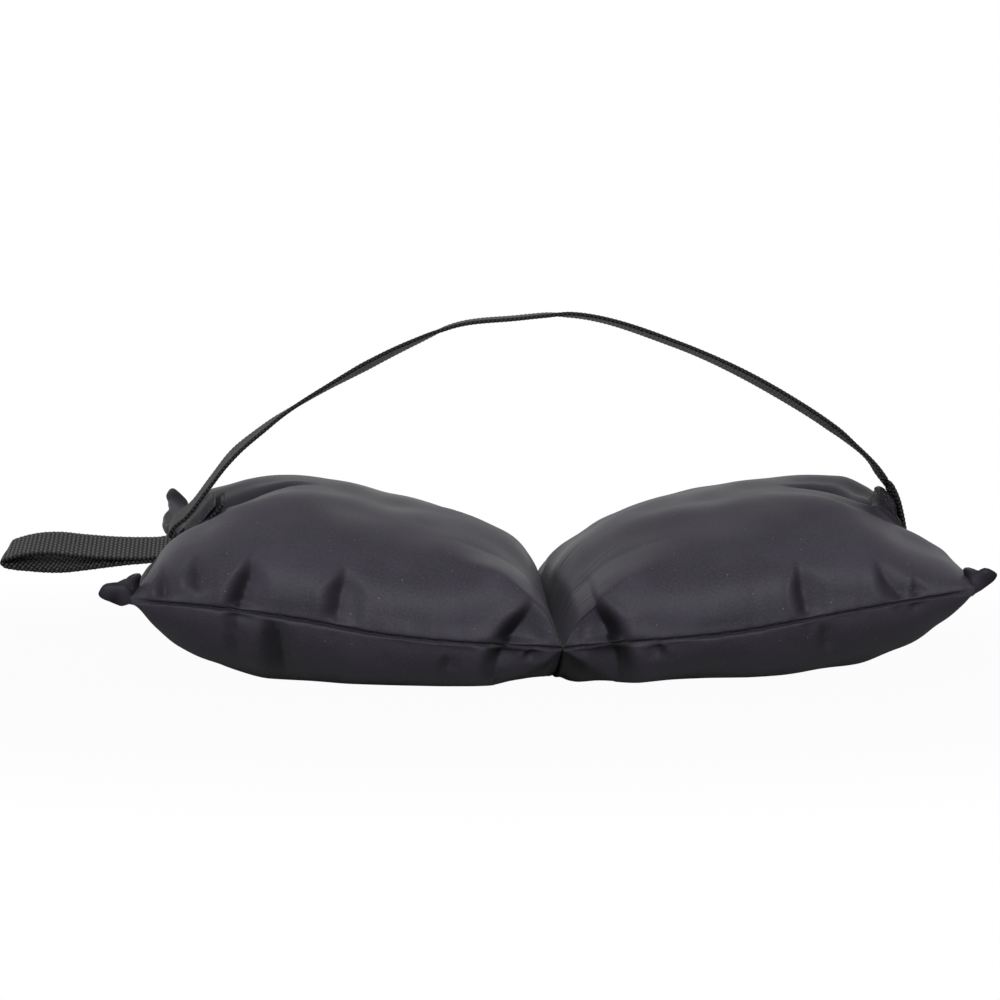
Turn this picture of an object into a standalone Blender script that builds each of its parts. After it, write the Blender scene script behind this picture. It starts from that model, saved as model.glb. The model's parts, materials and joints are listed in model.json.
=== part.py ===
"""Saddle sandbag trainer: two filled cloth pouches joined by a pinched centre seam, with a webbing carry
strap from end to end and a hang loop. Run in Blender 4.5. Metres, +Z up, front towards -Y."""

import math
from dataclasses import dataclass

import bmesh
import bpy
import numpy as np
from mathutils import Matrix, Vector

# Cloth and filling
CLOTH = 0.0008
LINER_WALL = 0.0004
SEAM_GAP = 0.0003
LINER_INSET = 0.036
SAND_INSET = 0.080
FILL_START = 0.05
FILL_END = 0.92
NECK_START = 0.90
NECK_END = 0.945
SAND_END_CLEARANCE = 0.012
LINER_NECK_RADIUS = 0.004
LINER_TIE_RADIUS = 0.001

# Pouches
POUCH_HEIGHT = 0.080
LEFT_LENGTH = 0.155
RIGHT_LENGTH = 0.1435
HALF_DEPTH = 0.083
CENTRE_HALF_DEPTH = 0.079
CENTRE_SEAM_X = 0.0315
CENTRE_SEAM_SKEW = -0.058
CENTRE_SEAM_RISE = 0.33
CENTRE_HALF_GAP = 0.0009
CREST_OFFSET = 0.045
CROWN_POWER = 0.7
BELLY_POWER = 1.0
PINCH_WIDTH = 0.027

# Webbing
STRAP_WIDTH = 0.025
STRAP_THICKNESS = 0.0016
LOOP_THICKNESS = 0.0014
LOOP_LENGTH = 0.0735
LOOP_GAP = 0.0068
LOOP_CLOSED_GAP = 0.0004
LOOP_SAG = 0.10
LOOP_ROOT_CLEARANCE = 0.002
STRAP_ROOT_CLEARANCE = 0.0021
STRAP_CATCH_CLEARANCE = 0.0011
STRAP_CATCH_GAP = 0.0008
HINGE_GAP = 0.0009
SWING_LIMIT = math.radians(22)
SWING_TIP_HALF_WIDTH = 0.0006
STEEPEST_SWING_CUT = math.radians(60)
FOOT_LENGTH = 0.0035
STRAP_ROW_PITCH = 0.006

# Hems and thread
HEM_LENGTH = 0.008
EAR_LENGTH = 0.011
EAR_SPREAD = 0.002
EAR_OPENING = 0.0022
THREAD_RADIUS = 0.0003
STITCH_PITCH = 0.004
STITCHED_SHARE = 0.96
SIDE_STITCH_END = 0.07
HEM_STITCH_AT = 0.0035
TAB_START = 0.0006
STRAP_TAB_SHOW = 0.0009
LOOP_TAB_SHOW = 0.0018
TACK_MARGIN = 0.0025
TACK_PITCH = 0.0012
TACK_AT = 0.0062
TACK_REACH = 0.0009

# Mesh fineness
PANEL_ROWS = 22
PANEL_COLUMNS = 18
HEM_ROWS = 3
END_CROWDING = 0.016
FILL_RINGS = 16
FILL_SIDES = 24
FILL_CLOSING_RINGS = 3
FILL_MAIN_SHARE = 0.94

# The carry strap's arch between its two roots: shares of the span between them and of its height
STRAP_HEIGHT = 0.156
STRAP_ROUTE = (
    (0.025, 0.463),
    (0.085, 0.597),
    (0.137, 0.685),
    (0.255, 0.827),
    (0.408, 0.959),
    (0.551, 1.000),
    (0.704, 0.913),
    (0.853, 0.769),
    (0.945, 0.649),
    (0.985, 0.577),
)
LEFT_SHOULDER_AT = 0.075
APEX_AT = 0.180
RIGHT_SHOULDER_BEFORE_END = 0.0660

# How far along the hang loop, and how far open there, its two layers part (shares of their full values)
LOOP_OPENING = ((0.22, 0.15), (0.46, 0.53), (0.68, 1.0))


def smooth_curve(knots, x):
    """Cubic through the knots (position, value) with no overshoot between them."""
    at = np.array([k[0] for k in knots], float)
    value = np.array([k[1] for k in knots], float)
    step = np.diff(at)
    rise = np.diff(value) / step
    slope = np.zeros(len(at))
    slope[0], slope[-1] = rise[0], rise[-1]
    for i in range(1, len(at) - 1):
        if rise[i - 1] * rise[i] > 0:
            first = 2 * step[i] + step[i - 1]
            second = step[i] + 2 * step[i - 1]
            slope[i] = (first + second) / (first / rise[i - 1] + second / rise[i])
    x = np.clip(x, at[0], at[-1])
    i = np.clip(np.searchsorted(at, x) - 1, 0, len(step) - 1)
    h = (x - at[i]) / step[i]
    return (
        value[i] * (1 + 2 * h) * (1 - h) ** 2
        + slope[i] * step[i] * h * (1 - h) ** 2
        + value[i + 1] * h * h * (3 - 2 * h)
        + slope[i + 1] * step[i] * h * h * (h - 1)
    )


def ease(x, start, end):
    h = np.clip((x - start) / (end - start), 0, 1)
    return h * h * (3 - 2 * h)


@dataclass
class Pouch:
    """One pouch. Its profiles run from the centre seam (0) to the end seam (1). They and the other
    rises are heights in shares of the pouch's height."""

    side: str
    sign: int
    length: float
    front_corner_out: float
    back_corner_out: float
    end_rise: float
    front_corner_rise: float
    back_corner_rise: float
    seam: tuple
    front_crest: tuple
    middle: tuple
    back_crest: tuple
    belly: tuple
    hem_tilt: float
    front_ear_tilt: float
    back_ear_tilt: float
    stack: float

    @property
    def end_x(self):
        return CENTRE_SEAM_X + self.sign * self.length

    def depth(self, t):
        return CENTRE_HALF_DEPTH + (HALF_DEPTH - CENTRE_HALF_DEPTH) * ease(t, 0, 0.3)

    def lateral(self, t, v):
        return -self.depth(t) * np.cos(math.pi * v)

    def pinch(self, v):
        return np.exp(-((self.lateral(1.0, v) / PINCH_WIDTH) ** 4))

    def along(self, t, v):
        y = self.lateral(t, v)
        start = CENTRE_SEAM_X + CENTRE_SEAM_SKEW * y + self.sign * CENTRE_HALF_GAP
        corner = self.front_corner_out
        corner = corner + (self.back_corner_out - corner) * ease(v, 0.2, 0.8)
        end = self.end_x + self.sign * corner * (1 - self.pinch(v))
        return start + t * (end - start)

    def seam_height(self, t, v):
        end = self.front_corner_rise + (self.back_corner_rise - self.front_corner_rise) * ease(v, 0, 1)
        end = end + (self.end_rise - end) * self.pinch(v)
        rise = smooth_curve(self.seam, t) + (end - self.seam[-1][1]) * ease(t, 0.6, 1.0)
        return POUCH_HEIGHT * rise

    def half_gap(self, t, v):
        """Half the distance between the outer faces of the top and the bottom cloth along their seams."""
        end = ease(t, 0.93, 1.0)
        centre = 1 - ease(t, 0, 0.06)
        stack = self.stack / 2 * ease(self.pinch(v), 0.02, 0.55)
        ears = EAR_OPENING / 2 * np.abs(2 * v - 1) ** 4
        return SEAM_GAP + CLOTH * (end + centre) + (stack + ears) * end

    def top(self, t, v):
        arch = np.sin(math.pi * v) ** CROWN_POWER
        crest_arch = math.sqrt(1 - (CREST_OFFSET / HALF_DEPTH) ** 2) ** CROWN_POWER
        seam = self.seam_height(t, v)
        middle = np.exp(-(((v - 0.5) / 0.11) ** 2))
        back = ease(v, 0.35, 0.65)
        crest = (1 - back) * smooth_curve(self.front_crest, t) + back * smooth_curve(self.back_crest, t)
        bulge = seam + (POUCH_HEIGHT * crest - seam) / crest_arch
        peak = (1 - middle) * bulge + middle * POUCH_HEIGHT * smooth_curve(self.middle, t)
        peak = seam + (peak - seam) * (1 - ease(t, 0.999, 1.0))
        return seam + self.half_gap(t, v) + np.maximum(peak - seam, 0) * arch

    def bottom(self, t, v):
        arch = np.sin(math.pi * v) ** BELLY_POWER
        seam = self.seam_height(t, v)
        sag = np.maximum(seam - POUCH_HEIGHT * smooth_curve(self.belly, t), 0)
        low = seam - sag * (1 - ease(t, 0.999, 1.0)) * arch
        return np.maximum(low - self.half_gap(t, v), 0.0)

    def point(self, t, v, upper):
        height = self.top(t, v) if upper else self.bottom(t, v)
        return float(self.along(t, v)), float(self.lateral(t, v)), float(height)

    def hem_point(self, w, v, lift):
        """A point of the end hem, w metres out from the end seam and lift above its middle surface."""
        y = self.lateral(1.0, v)
        corner = abs(2 * v - 1) ** 4
        ear_tilt = self.front_ear_tilt if v < 0.5 else self.back_ear_tilt
        tilt = self.hem_tilt * self.pinch(v) + ear_tilt * corner
        x = self.along(1.0, v) + self.sign * (w * math.cos(tilt) - lift * math.sin(tilt))
        z = self.seam_height(1.0, v) + w * math.sin(tilt) + lift * math.cos(tilt)
        return float(x), float(y + math.copysign(w / EAR_LENGTH * EAR_SPREAD * corner, y)), float(z)

    def on_hem(self, w, y, lift, face=0):
        """A point over the hem at depth y, on the flat facets of its cloth. Face is 1 on the top
        cloth's outer side, -1 on the bottom cloth's and 0 between the two."""
        column = math.acos(-y / HALF_DEPTH) / math.pi * PANEL_COLUMNS
        first = min(int(column), PANEL_COLUMNS - 1)
        ends = []
        for k in (first, first + 1):
            v = k / PANEL_COLUMNS
            ends.append(np.array(self.hem_point(w, v, lift + face * float(self.half_gap(1.0, v)))))
        share = (y - ends[0][1]) / (ends[1][1] - ends[0][1])
        return tuple(ends[0] + (ends[1] - ends[0]) * share)

    def hem_length(self, v):
        return HEM_LENGTH + (EAR_LENGTH - HEM_LENGTH) * (1 - self.pinch(v)) ** 2

    def middle_height(self, t):
        return float((self.top(t, 0.5) + self.bottom(t, 0.5)) / 2)

    def section(self, t, angle, scale):
        """A point inside the pouch: its cross-section at t drawn in towards its middle by scale."""
        v = abs(angle) / math.pi
        x, y, z = self.point(t, v, angle > 0)
        mid_z = self.middle_height(t)
        mid_x = self.along(t, 0.5)
        return mid_x + (x - mid_x) * scale, y * scale, float(mid_z + (z - mid_z) * scale)


LEFT = Pouch(
    side="left",
    sign=-1,
    length=LEFT_LENGTH,
    front_corner_out=0.014,
    back_corner_out=0.015,
    end_rise=0.7,
    front_corner_rise=0.588,
    back_corner_rise=0.713,
    seam=((0, CENTRE_SEAM_RISE), (0.16, 0.356), (0.4, 0.406), (0.62, 0.494), (0.8, 0.544), (1, 0.575)),
    front_crest=((0, CENTRE_SEAM_RISE), (0.04, 0.5), (0.15, 0.7), (0.41, 0.881), (0.71, 0.988), (0.86, 0.875),
                 (0.95, 0.75), (1, 0.6)),
    middle=((0, CENTRE_SEAM_RISE), (0.03, 0.487), (0.15, 0.737), (0.41, 0.912), (0.7, 0.994), (0.89, 0.912),
            (0.96, 0.838), (1, 0.7)),
    back_crest=((0, CENTRE_SEAM_RISE), (0.04, 0.5), (0.15, 0.7), (0.41, 0.881), (0.73, 0.975), (0.91, 0.9),
                (0.97, 0.812), (1, 0.688)),
    belly=((0, CENTRE_SEAM_RISE), (0.03, 0.137), (0.1, 0.037), (0.2, -0.025), (0.32, -0.05), (0.68, -0.05),
           (0.82, 0.05), (0.93, 0.275), (1, 0.575)),
    hem_tilt=math.radians(12),
    front_ear_tilt=math.radians(22),
    back_ear_tilt=math.radians(45),
    stack=2 * LOOP_THICKNESS + STRAP_THICKNESS + 2 * SEAM_GAP,
)
RIGHT = Pouch(
    side="right",
    sign=1,
    length=RIGHT_LENGTH,
    front_corner_out=0.0225,
    back_corner_out=0.012,
    end_rise=0.906,
    front_corner_rise=0.638,
    back_corner_rise=0.6,
    seam=((0, CENTRE_SEAM_RISE), (0.16, 0.369), (0.4, 0.419), (0.62, 0.5), (0.8, 0.569), (1, 0.637)),
    front_crest=((0, CENTRE_SEAM_RISE), (0.04, 0.525), (0.15, 0.7), (0.4, 0.881), (0.72, 0.975), (0.88, 0.863),
                 (0.95, 0.762), (1, 0.662)),
    middle=((0, CENTRE_SEAM_RISE), (0.03, 0.537), (0.15, 0.737), (0.4, 0.925), (0.72, 0.994), (0.85, 0.95),
            (0.96, 0.919), (1, 0.906)),
    back_crest=((0, CENTRE_SEAM_RISE), (0.04, 0.525), (0.15, 0.7), (0.4, 0.881), (0.74, 0.981), (0.88, 0.887),
                (0.96, 0.775), (1, 0.625)),
    belly=((0, CENTRE_SEAM_RISE), (0.03, 0.137), (0.1, 0.037), (0.2, -0.025), (0.30, -0.05), (0.62, -0.05),
           (0.78, 0.05), (0.92, 0.325), (1, 0.625)),
    hem_tilt=math.radians(62),
    front_ear_tilt=math.radians(38),
    back_ear_tilt=math.radians(0),
    stack=STRAP_THICKNESS + SEAM_GAP,
)


def clear_scene():
    for old in list(bpy.data.objects):
        bpy.data.objects.remove(old, do_unlink=True)


def material(name, colour, roughness, metallic=0.0):
    made = bpy.data.materials.new(name)
    made.use_nodes = True
    shader = made.node_tree.nodes["Principled BSDF"]
    shader.inputs["Base Color"].default_value = (*colour, 1)
    shader.inputs["Roughness"].default_value = roughness
    shader.inputs["Metallic"].default_value = metallic
    return made


def add_object(name, data, slot, origin=(0, 0, 0)):
    """Adds the object with its origin moved to its joint's axis, its shape staying where it is."""
    made = bpy.data.objects.new(name, data)
    data.materials.append(slot)
    PARTS.objects.link(made)
    if any(origin):
        data.transform(Matrix.Translation([-value for value in origin]))
        made.location = origin
    return made


def fold_origin(pouch):
    """The right pouch folds about the centre seam; the left one stands still."""
    return FOLD_AXIS if pouch is RIGHT else (0, 0, 0)


def grid_mesh(name, across, along, place):
    """A grid primitive whose vertices are laid at place(u, v), with u and v from 0 to 1."""
    bm = bmesh.new()
    bmesh.ops.create_grid(bm, x_segments=along, y_segments=across, size=0.5)
    for vertex in bm.verts:
        vertex.co = place(vertex.co.x + 0.5, vertex.co.y + 0.5)
    mesh = bpy.data.meshes.new(name)
    bm.to_mesh(mesh)
    bm.free()
    mesh.shade_smooth()
    return mesh


def flip(mesh):
    bm = bmesh.new()
    bm.from_mesh(mesh)
    bmesh.ops.reverse_faces(bm, faces=bm.faces)
    bm.to_mesh(mesh)
    bm.free()


def thicken(made, thickness, offset=-1.0):
    solid = made.modifiers.new("thickness", "SOLIDIFY")
    solid.thickness = thickness
    solid.offset = offset
    solid.use_even_offset = False


def panel(pouch, upper, slot):
    """The top or bottom cloth of a pouch, with its half of the end hem."""
    face = 1 if upper else -1

    def place(u, v):
        row = u * (PANEL_ROWS + HEM_ROWS)
        t = min(row / PANEL_ROWS, 1.0)
        t = t - END_CROWDING * math.sin(2 * math.pi * t)
        if row < PANEL_ROWS - 0.5:
            return pouch.point(t, v, upper)
        out = (row - PANEL_ROWS) / HEM_ROWS * pouch.hem_length(v)
        lift = face * float(pouch.half_gap(1.0, v))
        return pouch.hem_point(out, v, lift)

    name = f"{'top' if upper else 'bottom'}_panel_{pouch.side}"
    mesh = grid_mesh(name, PANEL_COLUMNS, PANEL_ROWS + HEM_ROWS, place)
    if (pouch.sign > 0) != upper:
        flip(mesh)
    thicken(add_object(name, mesh, slot, fold_origin(pouch)), CLOTH)


def fill_station(ring):
    """Where a ring of a filling lies along the pouch, and how full it is drawn. The last rings close
    its end."""
    main = FILL_RINGS - FILL_CLOSING_RINGS
    if ring <= main:
        share = FILL_MAIN_SHARE * ring / main
        return FILL_START + (FILL_END - FILL_START) * share, (1 - abs(2 * share - 1) ** 5) ** 0.5
    closing = (ring - main) / FILL_CLOSING_RINGS
    t, full = fill_station(main)
    return t + (NECK_START - t) * 0.5 * closing, full * (1 - closing)


def filling(name, pouch, inset, slot, neck=False):
    """A body drawn in from the pouch, from a sphere primitive whose poles lie at its two ends. With a
    neck it is a film with an open neck in place of its outer pole."""
    bm = bmesh.new()
    bmesh.ops.create_uvsphere(bm, u_segments=FILL_SIDES, v_segments=FILL_RINGS, radius=1)
    if neck:
        bmesh.ops.delete(bm, geom=[max(bm.verts, key=lambda vertex: vertex.co.z)], context="VERTS")
    for vertex in bm.verts:
        ring = round(math.acos(max(-1, min(1, -vertex.co.z))) / math.pi * FILL_RINGS)
        angle = math.atan2(vertex.co.y, vertex.co.x)
        if neck and ring > FILL_RINGS - FILL_CLOSING_RINGS:
            at = NECK_START if ring == FILL_RINGS - 2 else NECK_END
            middle = pouch.middle_height(NECK_START)
            y = -LINER_NECK_RADIUS * math.cos(angle)
            vertex.co = (pouch.along(at, 0.5), y, middle + LINER_NECK_RADIUS * math.sin(angle))
        else:
            t, full = fill_station(ring)
            if not neck:
                t = t + SAND_END_CLEARANCE * (1 - 2 * ring / FILL_RINGS)
            vertex.co = pouch.section(t, angle, full * (1 - inset))
    if pouch.sign > 0:
        bmesh.ops.reverse_faces(bm, faces=bm.faces)
    mesh = bpy.data.meshes.new(name)
    bm.to_mesh(mesh)
    bm.free()
    mesh.shade_smooth()
    made = add_object(name, mesh, slot, fold_origin(pouch))
    if neck:
        thicken(made, LINER_WALL)


def liner_tie(pouch, slot):
    """The cable tie round the liner's neck."""
    place = (float(pouch.along((NECK_START + NECK_END) / 2, 0.5)), 0, pouch.middle_height(NECK_START))
    ring = LINER_NECK_RADIUS + SEAM_GAP + LINER_TIE_RADIUS
    bpy.ops.mesh.primitive_torus_add(
        major_radius=ring,
        minor_radius=LINER_TIE_RADIUS,
        major_segments=20,
        minor_segments=8,
        rotation=(0, math.pi / 2, 0),
        location=Vector(place) - Vector(fold_origin(pouch)),
    )
    made = bpy.context.object
    if pouch is RIGHT:
        made.parent = FOLD_PIVOT
    made.name = f"liner_tie_{pouch.side}"
    made.data.materials.append(slot)
    for owner in list(made.users_collection):
        owner.objects.unlink(made)
    PARTS.objects.link(made)


def route_points(steps=400):
    """Closely spaced points of the strap's centre line and their distances along it."""
    span = STRAP_CATCH[0] - STRAP_ROOT[0]
    arch = [(STRAP_ROOT[0] + span * along, STRAP_HEIGHT * rise) for along, rise in STRAP_ROUTE]
    knots = np.array([STRAP_ROOT[::2], *arch, STRAP_CATCH[::2]])
    chord = np.r_[0, np.cumsum(np.hypot(*np.diff(knots, axis=0).T))]
    at = np.linspace(0, chord[-1], steps)
    slope = np.gradient(knots, chord, axis=0)
    i = np.clip(np.searchsorted(chord, at) - 1, 0, len(chord) - 2)
    step = (chord[i + 1] - chord[i])[:, None]
    h = (at - chord[i])[:, None] / step
    points = (
        knots[i] * (1 + 2 * h) * (1 - h) ** 2
        + slope[i] * step * h * (1 - h) ** 2
        + knots[i + 1] * h * h * (3 - 2 * h)
        + slope[i + 1] * step * h * h * (h - 1)
    )
    return points, np.r_[0, np.cumsum(np.hypot(*np.diff(points, axis=0).T))]


def route_at(distance):
    x, z = (float(np.interp(distance, ROUTE_LENGTH, ROUTE[:, k])) for k in range(2))
    return x, 0.0, z


def strap_piece(name, start, end, slot, origin, point_start=False, point_end=False):
    """A length of the carry strap. A pointed end leaves room for the strap to swing over."""
    rows = max(2, round((end - start) / STRAP_ROW_PITCH))
    lean = math.tan(SWING_LIMIT) / math.sin(STEEPEST_SWING_CUT)

    def half_width(distance):
        width = STRAP_WIDTH / 2
        if point_start:
            width = min(width, SWING_TIP_HALF_WIDTH + (distance - start) / lean)
        if point_end:
            width = min(width, SWING_TIP_HALF_WIDTH + (end - distance) / lean)
        return width

    def place(u, v):
        distance = start + (end - start) * u
        x, _, z = route_at(distance)
        return x, (2 * v - 1) * half_width(distance), z

    mesh = grid_mesh(name, 2, rows, place)
    thicken(add_object(name, mesh, slot, origin), STRAP_THICKNESS, 0.0)


def hem_tab(name, pouch, slot, lift, thickness, show, origin=(0, 0, 0)):
    """The end of a webbing piece, sewn in between the two layers of the hem."""
    outer = HEM_LENGTH + show

    def place(u, v):
        out = TAB_START + (outer - TAB_START) * u
        return pouch.on_hem(out, (2 * v - 1) * STRAP_WIDTH / 2, lift)

    mesh = grid_mesh(name, 4, 3, place)
    thicken(add_object(name, mesh, slot, origin), thickness, 0.0)


def hang_loop(slot):
    """One length of webbing doubled back on itself, open between its two layers."""
    closed = (LOOP_CLOSED_GAP + LOOP_THICKNESS) / 2
    half = (LOOP_GAP + LOOP_THICKNESS) / 2
    tip = LOOP_LENGTH - LOOP_THICKNESS / 2
    upper = [(SEAM_GAP, closed)]
    upper += [(LOOP_LENGTH * at, closed + (half - closed) * share) for at, share in LOOP_OPENING]
    upper.append((tip - half, half))
    turns = 8
    bight = [
        (tip - half + half * math.sin(math.pi * k / turns), half * math.cos(math.pi * k / turns))
        for k in range(1, turns)
    ]
    lower = [(along, -height) for along, height in reversed(upper)]
    outline = upper + bight + lower

    def place(u, v):
        k = min(round(u * (len(outline) - 1)), len(outline) - 1)
        along, height = outline[k]
        return LOOP_ROOT[0] - along, (2 * v - 1) * STRAP_WIDTH / 2, LOOP_ROOT[2] + height - LOOP_SAG * along

    mesh = grid_mesh("hang_loop", 2, len(outline) - 1, place)
    thicken(add_object("hang_loop", mesh, slot, LOOP_ROOT), LOOP_THICKNESS, 0.0)


def thread(name, path, slot, origin=(0, 0, 0)):
    """A sewing thread along the points of path."""
    curve = bpy.data.curves.new(name, "CURVE")
    curve.dimensions = "3D"
    curve.bevel_depth = THREAD_RADIUS
    curve.bevel_resolution = 0
    curve.use_fill_caps = True
    spline = curve.splines.new("POLY")
    spline.points.add(len(path) - 1)
    for point, place in zip(spline.points, path):
        point.co = (*place, 1)
    add_object(name, curve, slot, origin)


def side_seam_thread(pouch, back, slot):
    """The run of stitches inside the turned seam that joins the top and bottom cloth."""
    inset = CLOTH + SEAM_GAP + THREAD_RADIUS
    stitched = 1 - 2 * SIDE_STITCH_END
    count = round(stitched * (pouch.length + pouch.front_corner_out) / STITCH_PITCH) * 2
    path = []
    for k in range(count + 1):
        t = SIDE_STITCH_END + stitched * k / count
        v = 1.0 if back else 0.0
        y = float(pouch.lateral(t, v))
        lift = THREAD_RADIUS * (1 if k % 2 else -1)
        inward = math.copysign(inset, y)
        path.append((float(pouch.along(t, v)), y - inward, float(pouch.seam_height(t, v)) + lift))
    side = "back" if back else "front"
    thread(f"{side}_seam_thread_{pouch.side}", path, slot, fold_origin(pouch))


def hem_thread(pouch, slot):
    """The row of stitches that closes the pouch's end through its hem."""
    reach = STITCHED_SHARE * HALF_DEPTH
    count = round(2 * reach / STITCH_PITCH) * 2
    path = []
    for k in range(count + 1):
        lift = SEAM_GAP + THREAD_RADIUS * (2.5 if k % 2 else 1.5)
        path.append(pouch.on_hem(HEM_STITCH_AT, reach * (2 * k / count - 1), lift, 1))
    thread(f"end_seam_thread_{pouch.side}", path, slot, fold_origin(pouch))


def strap_tack(pouch, slot):
    """The dense zigzag of thread that holds the strap's end in the hem."""
    width = STRAP_WIDTH - 2 * TACK_MARGIN
    count = round(width / TACK_PITCH)
    path = []
    for k in range(count + 1):
        out = TACK_AT + TACK_REACH * (1 if k % 2 else -1)
        path.append(pouch.on_hem(out, width * (k / count - 0.5), SEAM_GAP + THREAD_RADIUS, 1))
    thread(f"strap_tack_{pouch.side}", path, slot, fold_origin(pouch))


def centre_thread(slot):
    """The row of stitches across the bag that divides it into two pouches."""
    reach = STITCHED_SHARE * CENTRE_HALF_DEPTH
    count = round(2 * reach / STITCH_PITCH) * 2
    path = []
    for k in range(count + 1):
        y = reach * (2 * k / count - 1)
        lift = CLOTH * (1 if k % 2 else -1)
        path.append((CENTRE_SEAM_X + CENTRE_SEAM_SKEW * y, y, CENTRE_SEAM_Z + lift))
    thread("centre_seam_thread", path, slot)


CENTRE_SEAM_Z = POUCH_HEIGHT * CENTRE_SEAM_RISE
FOLD_AXIS = (CENTRE_SEAM_X, 0.0, CENTRE_SEAM_Z)
LEFT_STRAP_LIFT = (LEFT.stack - STRAP_THICKNESS) / 2
LOOP_LIFT = (2 * LOOP_THICKNESS + SEAM_GAP - LEFT.stack) / 2
STRAP_ROOT = LEFT.hem_point(HEM_LENGTH + STRAP_TAB_SHOW + STRAP_ROOT_CLEARANCE, 0.5, LEFT_STRAP_LIFT)
STRAP_CATCH = RIGHT.hem_point(HEM_LENGTH + STRAP_TAB_SHOW + STRAP_CATCH_CLEARANCE, 0.5, 0)
LOOP_ROOT = LEFT.hem_point(HEM_LENGTH + LOOP_TAB_SHOW + LOOP_ROOT_CLEARANCE, 0.5, LOOP_LIFT)
ROUTE, ROUTE_LENGTH = route_points()
STRAP_END_AT = ROUTE_LENGTH[-1] - STRAP_CATCH_GAP
LEFT_SHOULDER = route_at(LEFT_SHOULDER_AT)
APEX = route_at(APEX_AT)
RIGHT_SHOULDER_AT = ROUTE_LENGTH[-1] - RIGHT_SHOULDER_BEFORE_END
RIGHT_SHOULDER = route_at(RIGHT_SHOULDER_AT)

clear_scene()
PARTS = bpy.data.collections.new("saddle_sandbag")
bpy.context.scene.collection.children.link(PARTS)
FOLD_PIVOT = bpy.data.objects.new("fold_pivot", None)
FOLD_PIVOT.location = FOLD_AXIS
PARTS.objects.link(FOLD_PIVOT)

cloth = material("bag_cloth", (0.062, 0.058, 0.068), 0.55)
webbing = material("webbing", (0.022, 0.022, 0.023), 0.75)
yarn = material("thread", (0.02, 0.02, 0.022), 0.6)
liner = material("liner_film", (0.35, 0.34, 0.33), 0.4)
sand = material("sand", (0.45, 0.36, 0.25), 0.95)
tie = material("tie_nylon", (0.75, 0.75, 0.72), 0.45)

for pouch in (LEFT, RIGHT):
    panel(pouch, True, cloth)
    panel(pouch, False, cloth)
    filling(f"liner_{pouch.side}", pouch, LINER_INSET, liner, neck=True)
    filling(f"sand_{pouch.side}", pouch, SAND_INSET, sand)
    liner_tie(pouch, tie)
    side_seam_thread(pouch, False, yarn)
    side_seam_thread(pouch, True, yarn)
    hem_thread(pouch, yarn)
    strap_tack(pouch, yarn)
centre_thread(yarn)

hem_tab("strap_end_left", LEFT, webbing, LEFT_STRAP_LIFT, STRAP_THICKNESS, STRAP_TAB_SHOW)
hem_tab("strap_end_right", RIGHT, webbing, 0.0, STRAP_THICKNESS, STRAP_TAB_SHOW, FOLD_AXIS)
hem_tab("loop_end", LEFT, webbing, LOOP_LIFT, 2 * LOOP_THICKNESS, LOOP_TAB_SHOW)
strap_piece("strap_foot", 0.0, FOOT_LENGTH, webbing, STRAP_ROOT)
strap_piece("strap_rise_left", FOOT_LENGTH + HINGE_GAP, LEFT_SHOULDER_AT - HINGE_GAP / 2, webbing,
            STRAP_ROOT, point_start=True)
strap_piece("strap_top_left", LEFT_SHOULDER_AT + HINGE_GAP / 2, APEX_AT - HINGE_GAP / 2, webbing,
            LEFT_SHOULDER)
strap_piece("strap_top_right", APEX_AT + HINGE_GAP / 2, RIGHT_SHOULDER_AT - HINGE_GAP / 2, webbing, APEX)
strap_piece("strap_rise_right", RIGHT_SHOULDER_AT + HINGE_GAP / 2, STRAP_END_AT, webbing,
            RIGHT_SHOULDER, point_end=True)
hang_loop(webbing)

for name, place in (("fold axis", FOLD_AXIS), ("strap root", STRAP_ROOT), ("left shoulder", LEFT_SHOULDER),
                    ("apex", APEX), ("right shoulder", RIGHT_SHOULDER), ("strap catch", STRAP_CATCH),
                    ("loop root", LOOP_ROOT)):
    print(name, [round(value, 5) for value in place])
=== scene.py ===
"""Dresses the saddle sandbag trainer: coated nylon pouches, ribbed webbing strap and hang loop, stitched
hems, liners and sand, on a plain floor. Metres, +Z up, front towards -Y."""

import json
import math
from dataclasses import dataclass

import bpy
import numpy as np
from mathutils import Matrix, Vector, noise


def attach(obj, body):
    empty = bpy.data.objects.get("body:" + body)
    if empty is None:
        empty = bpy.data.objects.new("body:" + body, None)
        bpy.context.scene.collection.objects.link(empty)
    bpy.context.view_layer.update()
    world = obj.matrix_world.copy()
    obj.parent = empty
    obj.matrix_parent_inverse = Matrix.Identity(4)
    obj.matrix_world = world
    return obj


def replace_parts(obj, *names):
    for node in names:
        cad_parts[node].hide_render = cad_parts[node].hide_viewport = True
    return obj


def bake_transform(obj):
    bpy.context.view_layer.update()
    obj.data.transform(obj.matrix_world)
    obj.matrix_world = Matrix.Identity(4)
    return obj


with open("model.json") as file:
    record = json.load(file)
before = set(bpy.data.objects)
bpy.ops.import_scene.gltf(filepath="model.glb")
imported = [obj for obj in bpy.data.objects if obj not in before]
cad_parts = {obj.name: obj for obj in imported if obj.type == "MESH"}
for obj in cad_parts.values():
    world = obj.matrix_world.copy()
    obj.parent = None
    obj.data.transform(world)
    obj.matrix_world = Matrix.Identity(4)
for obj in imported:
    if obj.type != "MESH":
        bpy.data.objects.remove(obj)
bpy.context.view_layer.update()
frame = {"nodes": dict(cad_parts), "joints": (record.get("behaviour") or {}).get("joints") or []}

# Pouch and hem shape, with the part's own sizes where both have them
CLOTH = 0.0008
SEAM_GAP = 0.0003
POUCH_HEIGHT = 0.080
HALF_DEPTH = 0.083
CENTRE_HALF_DEPTH = 0.079
CENTRE_X = 0.0315
CENTRE_SKEW = -0.058
CENTRE_RISE = 0.33
CREST_OFFSET = 0.045
CROWN_POWER = 0.7
CREASE_RADIUS = 0.0016
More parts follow.
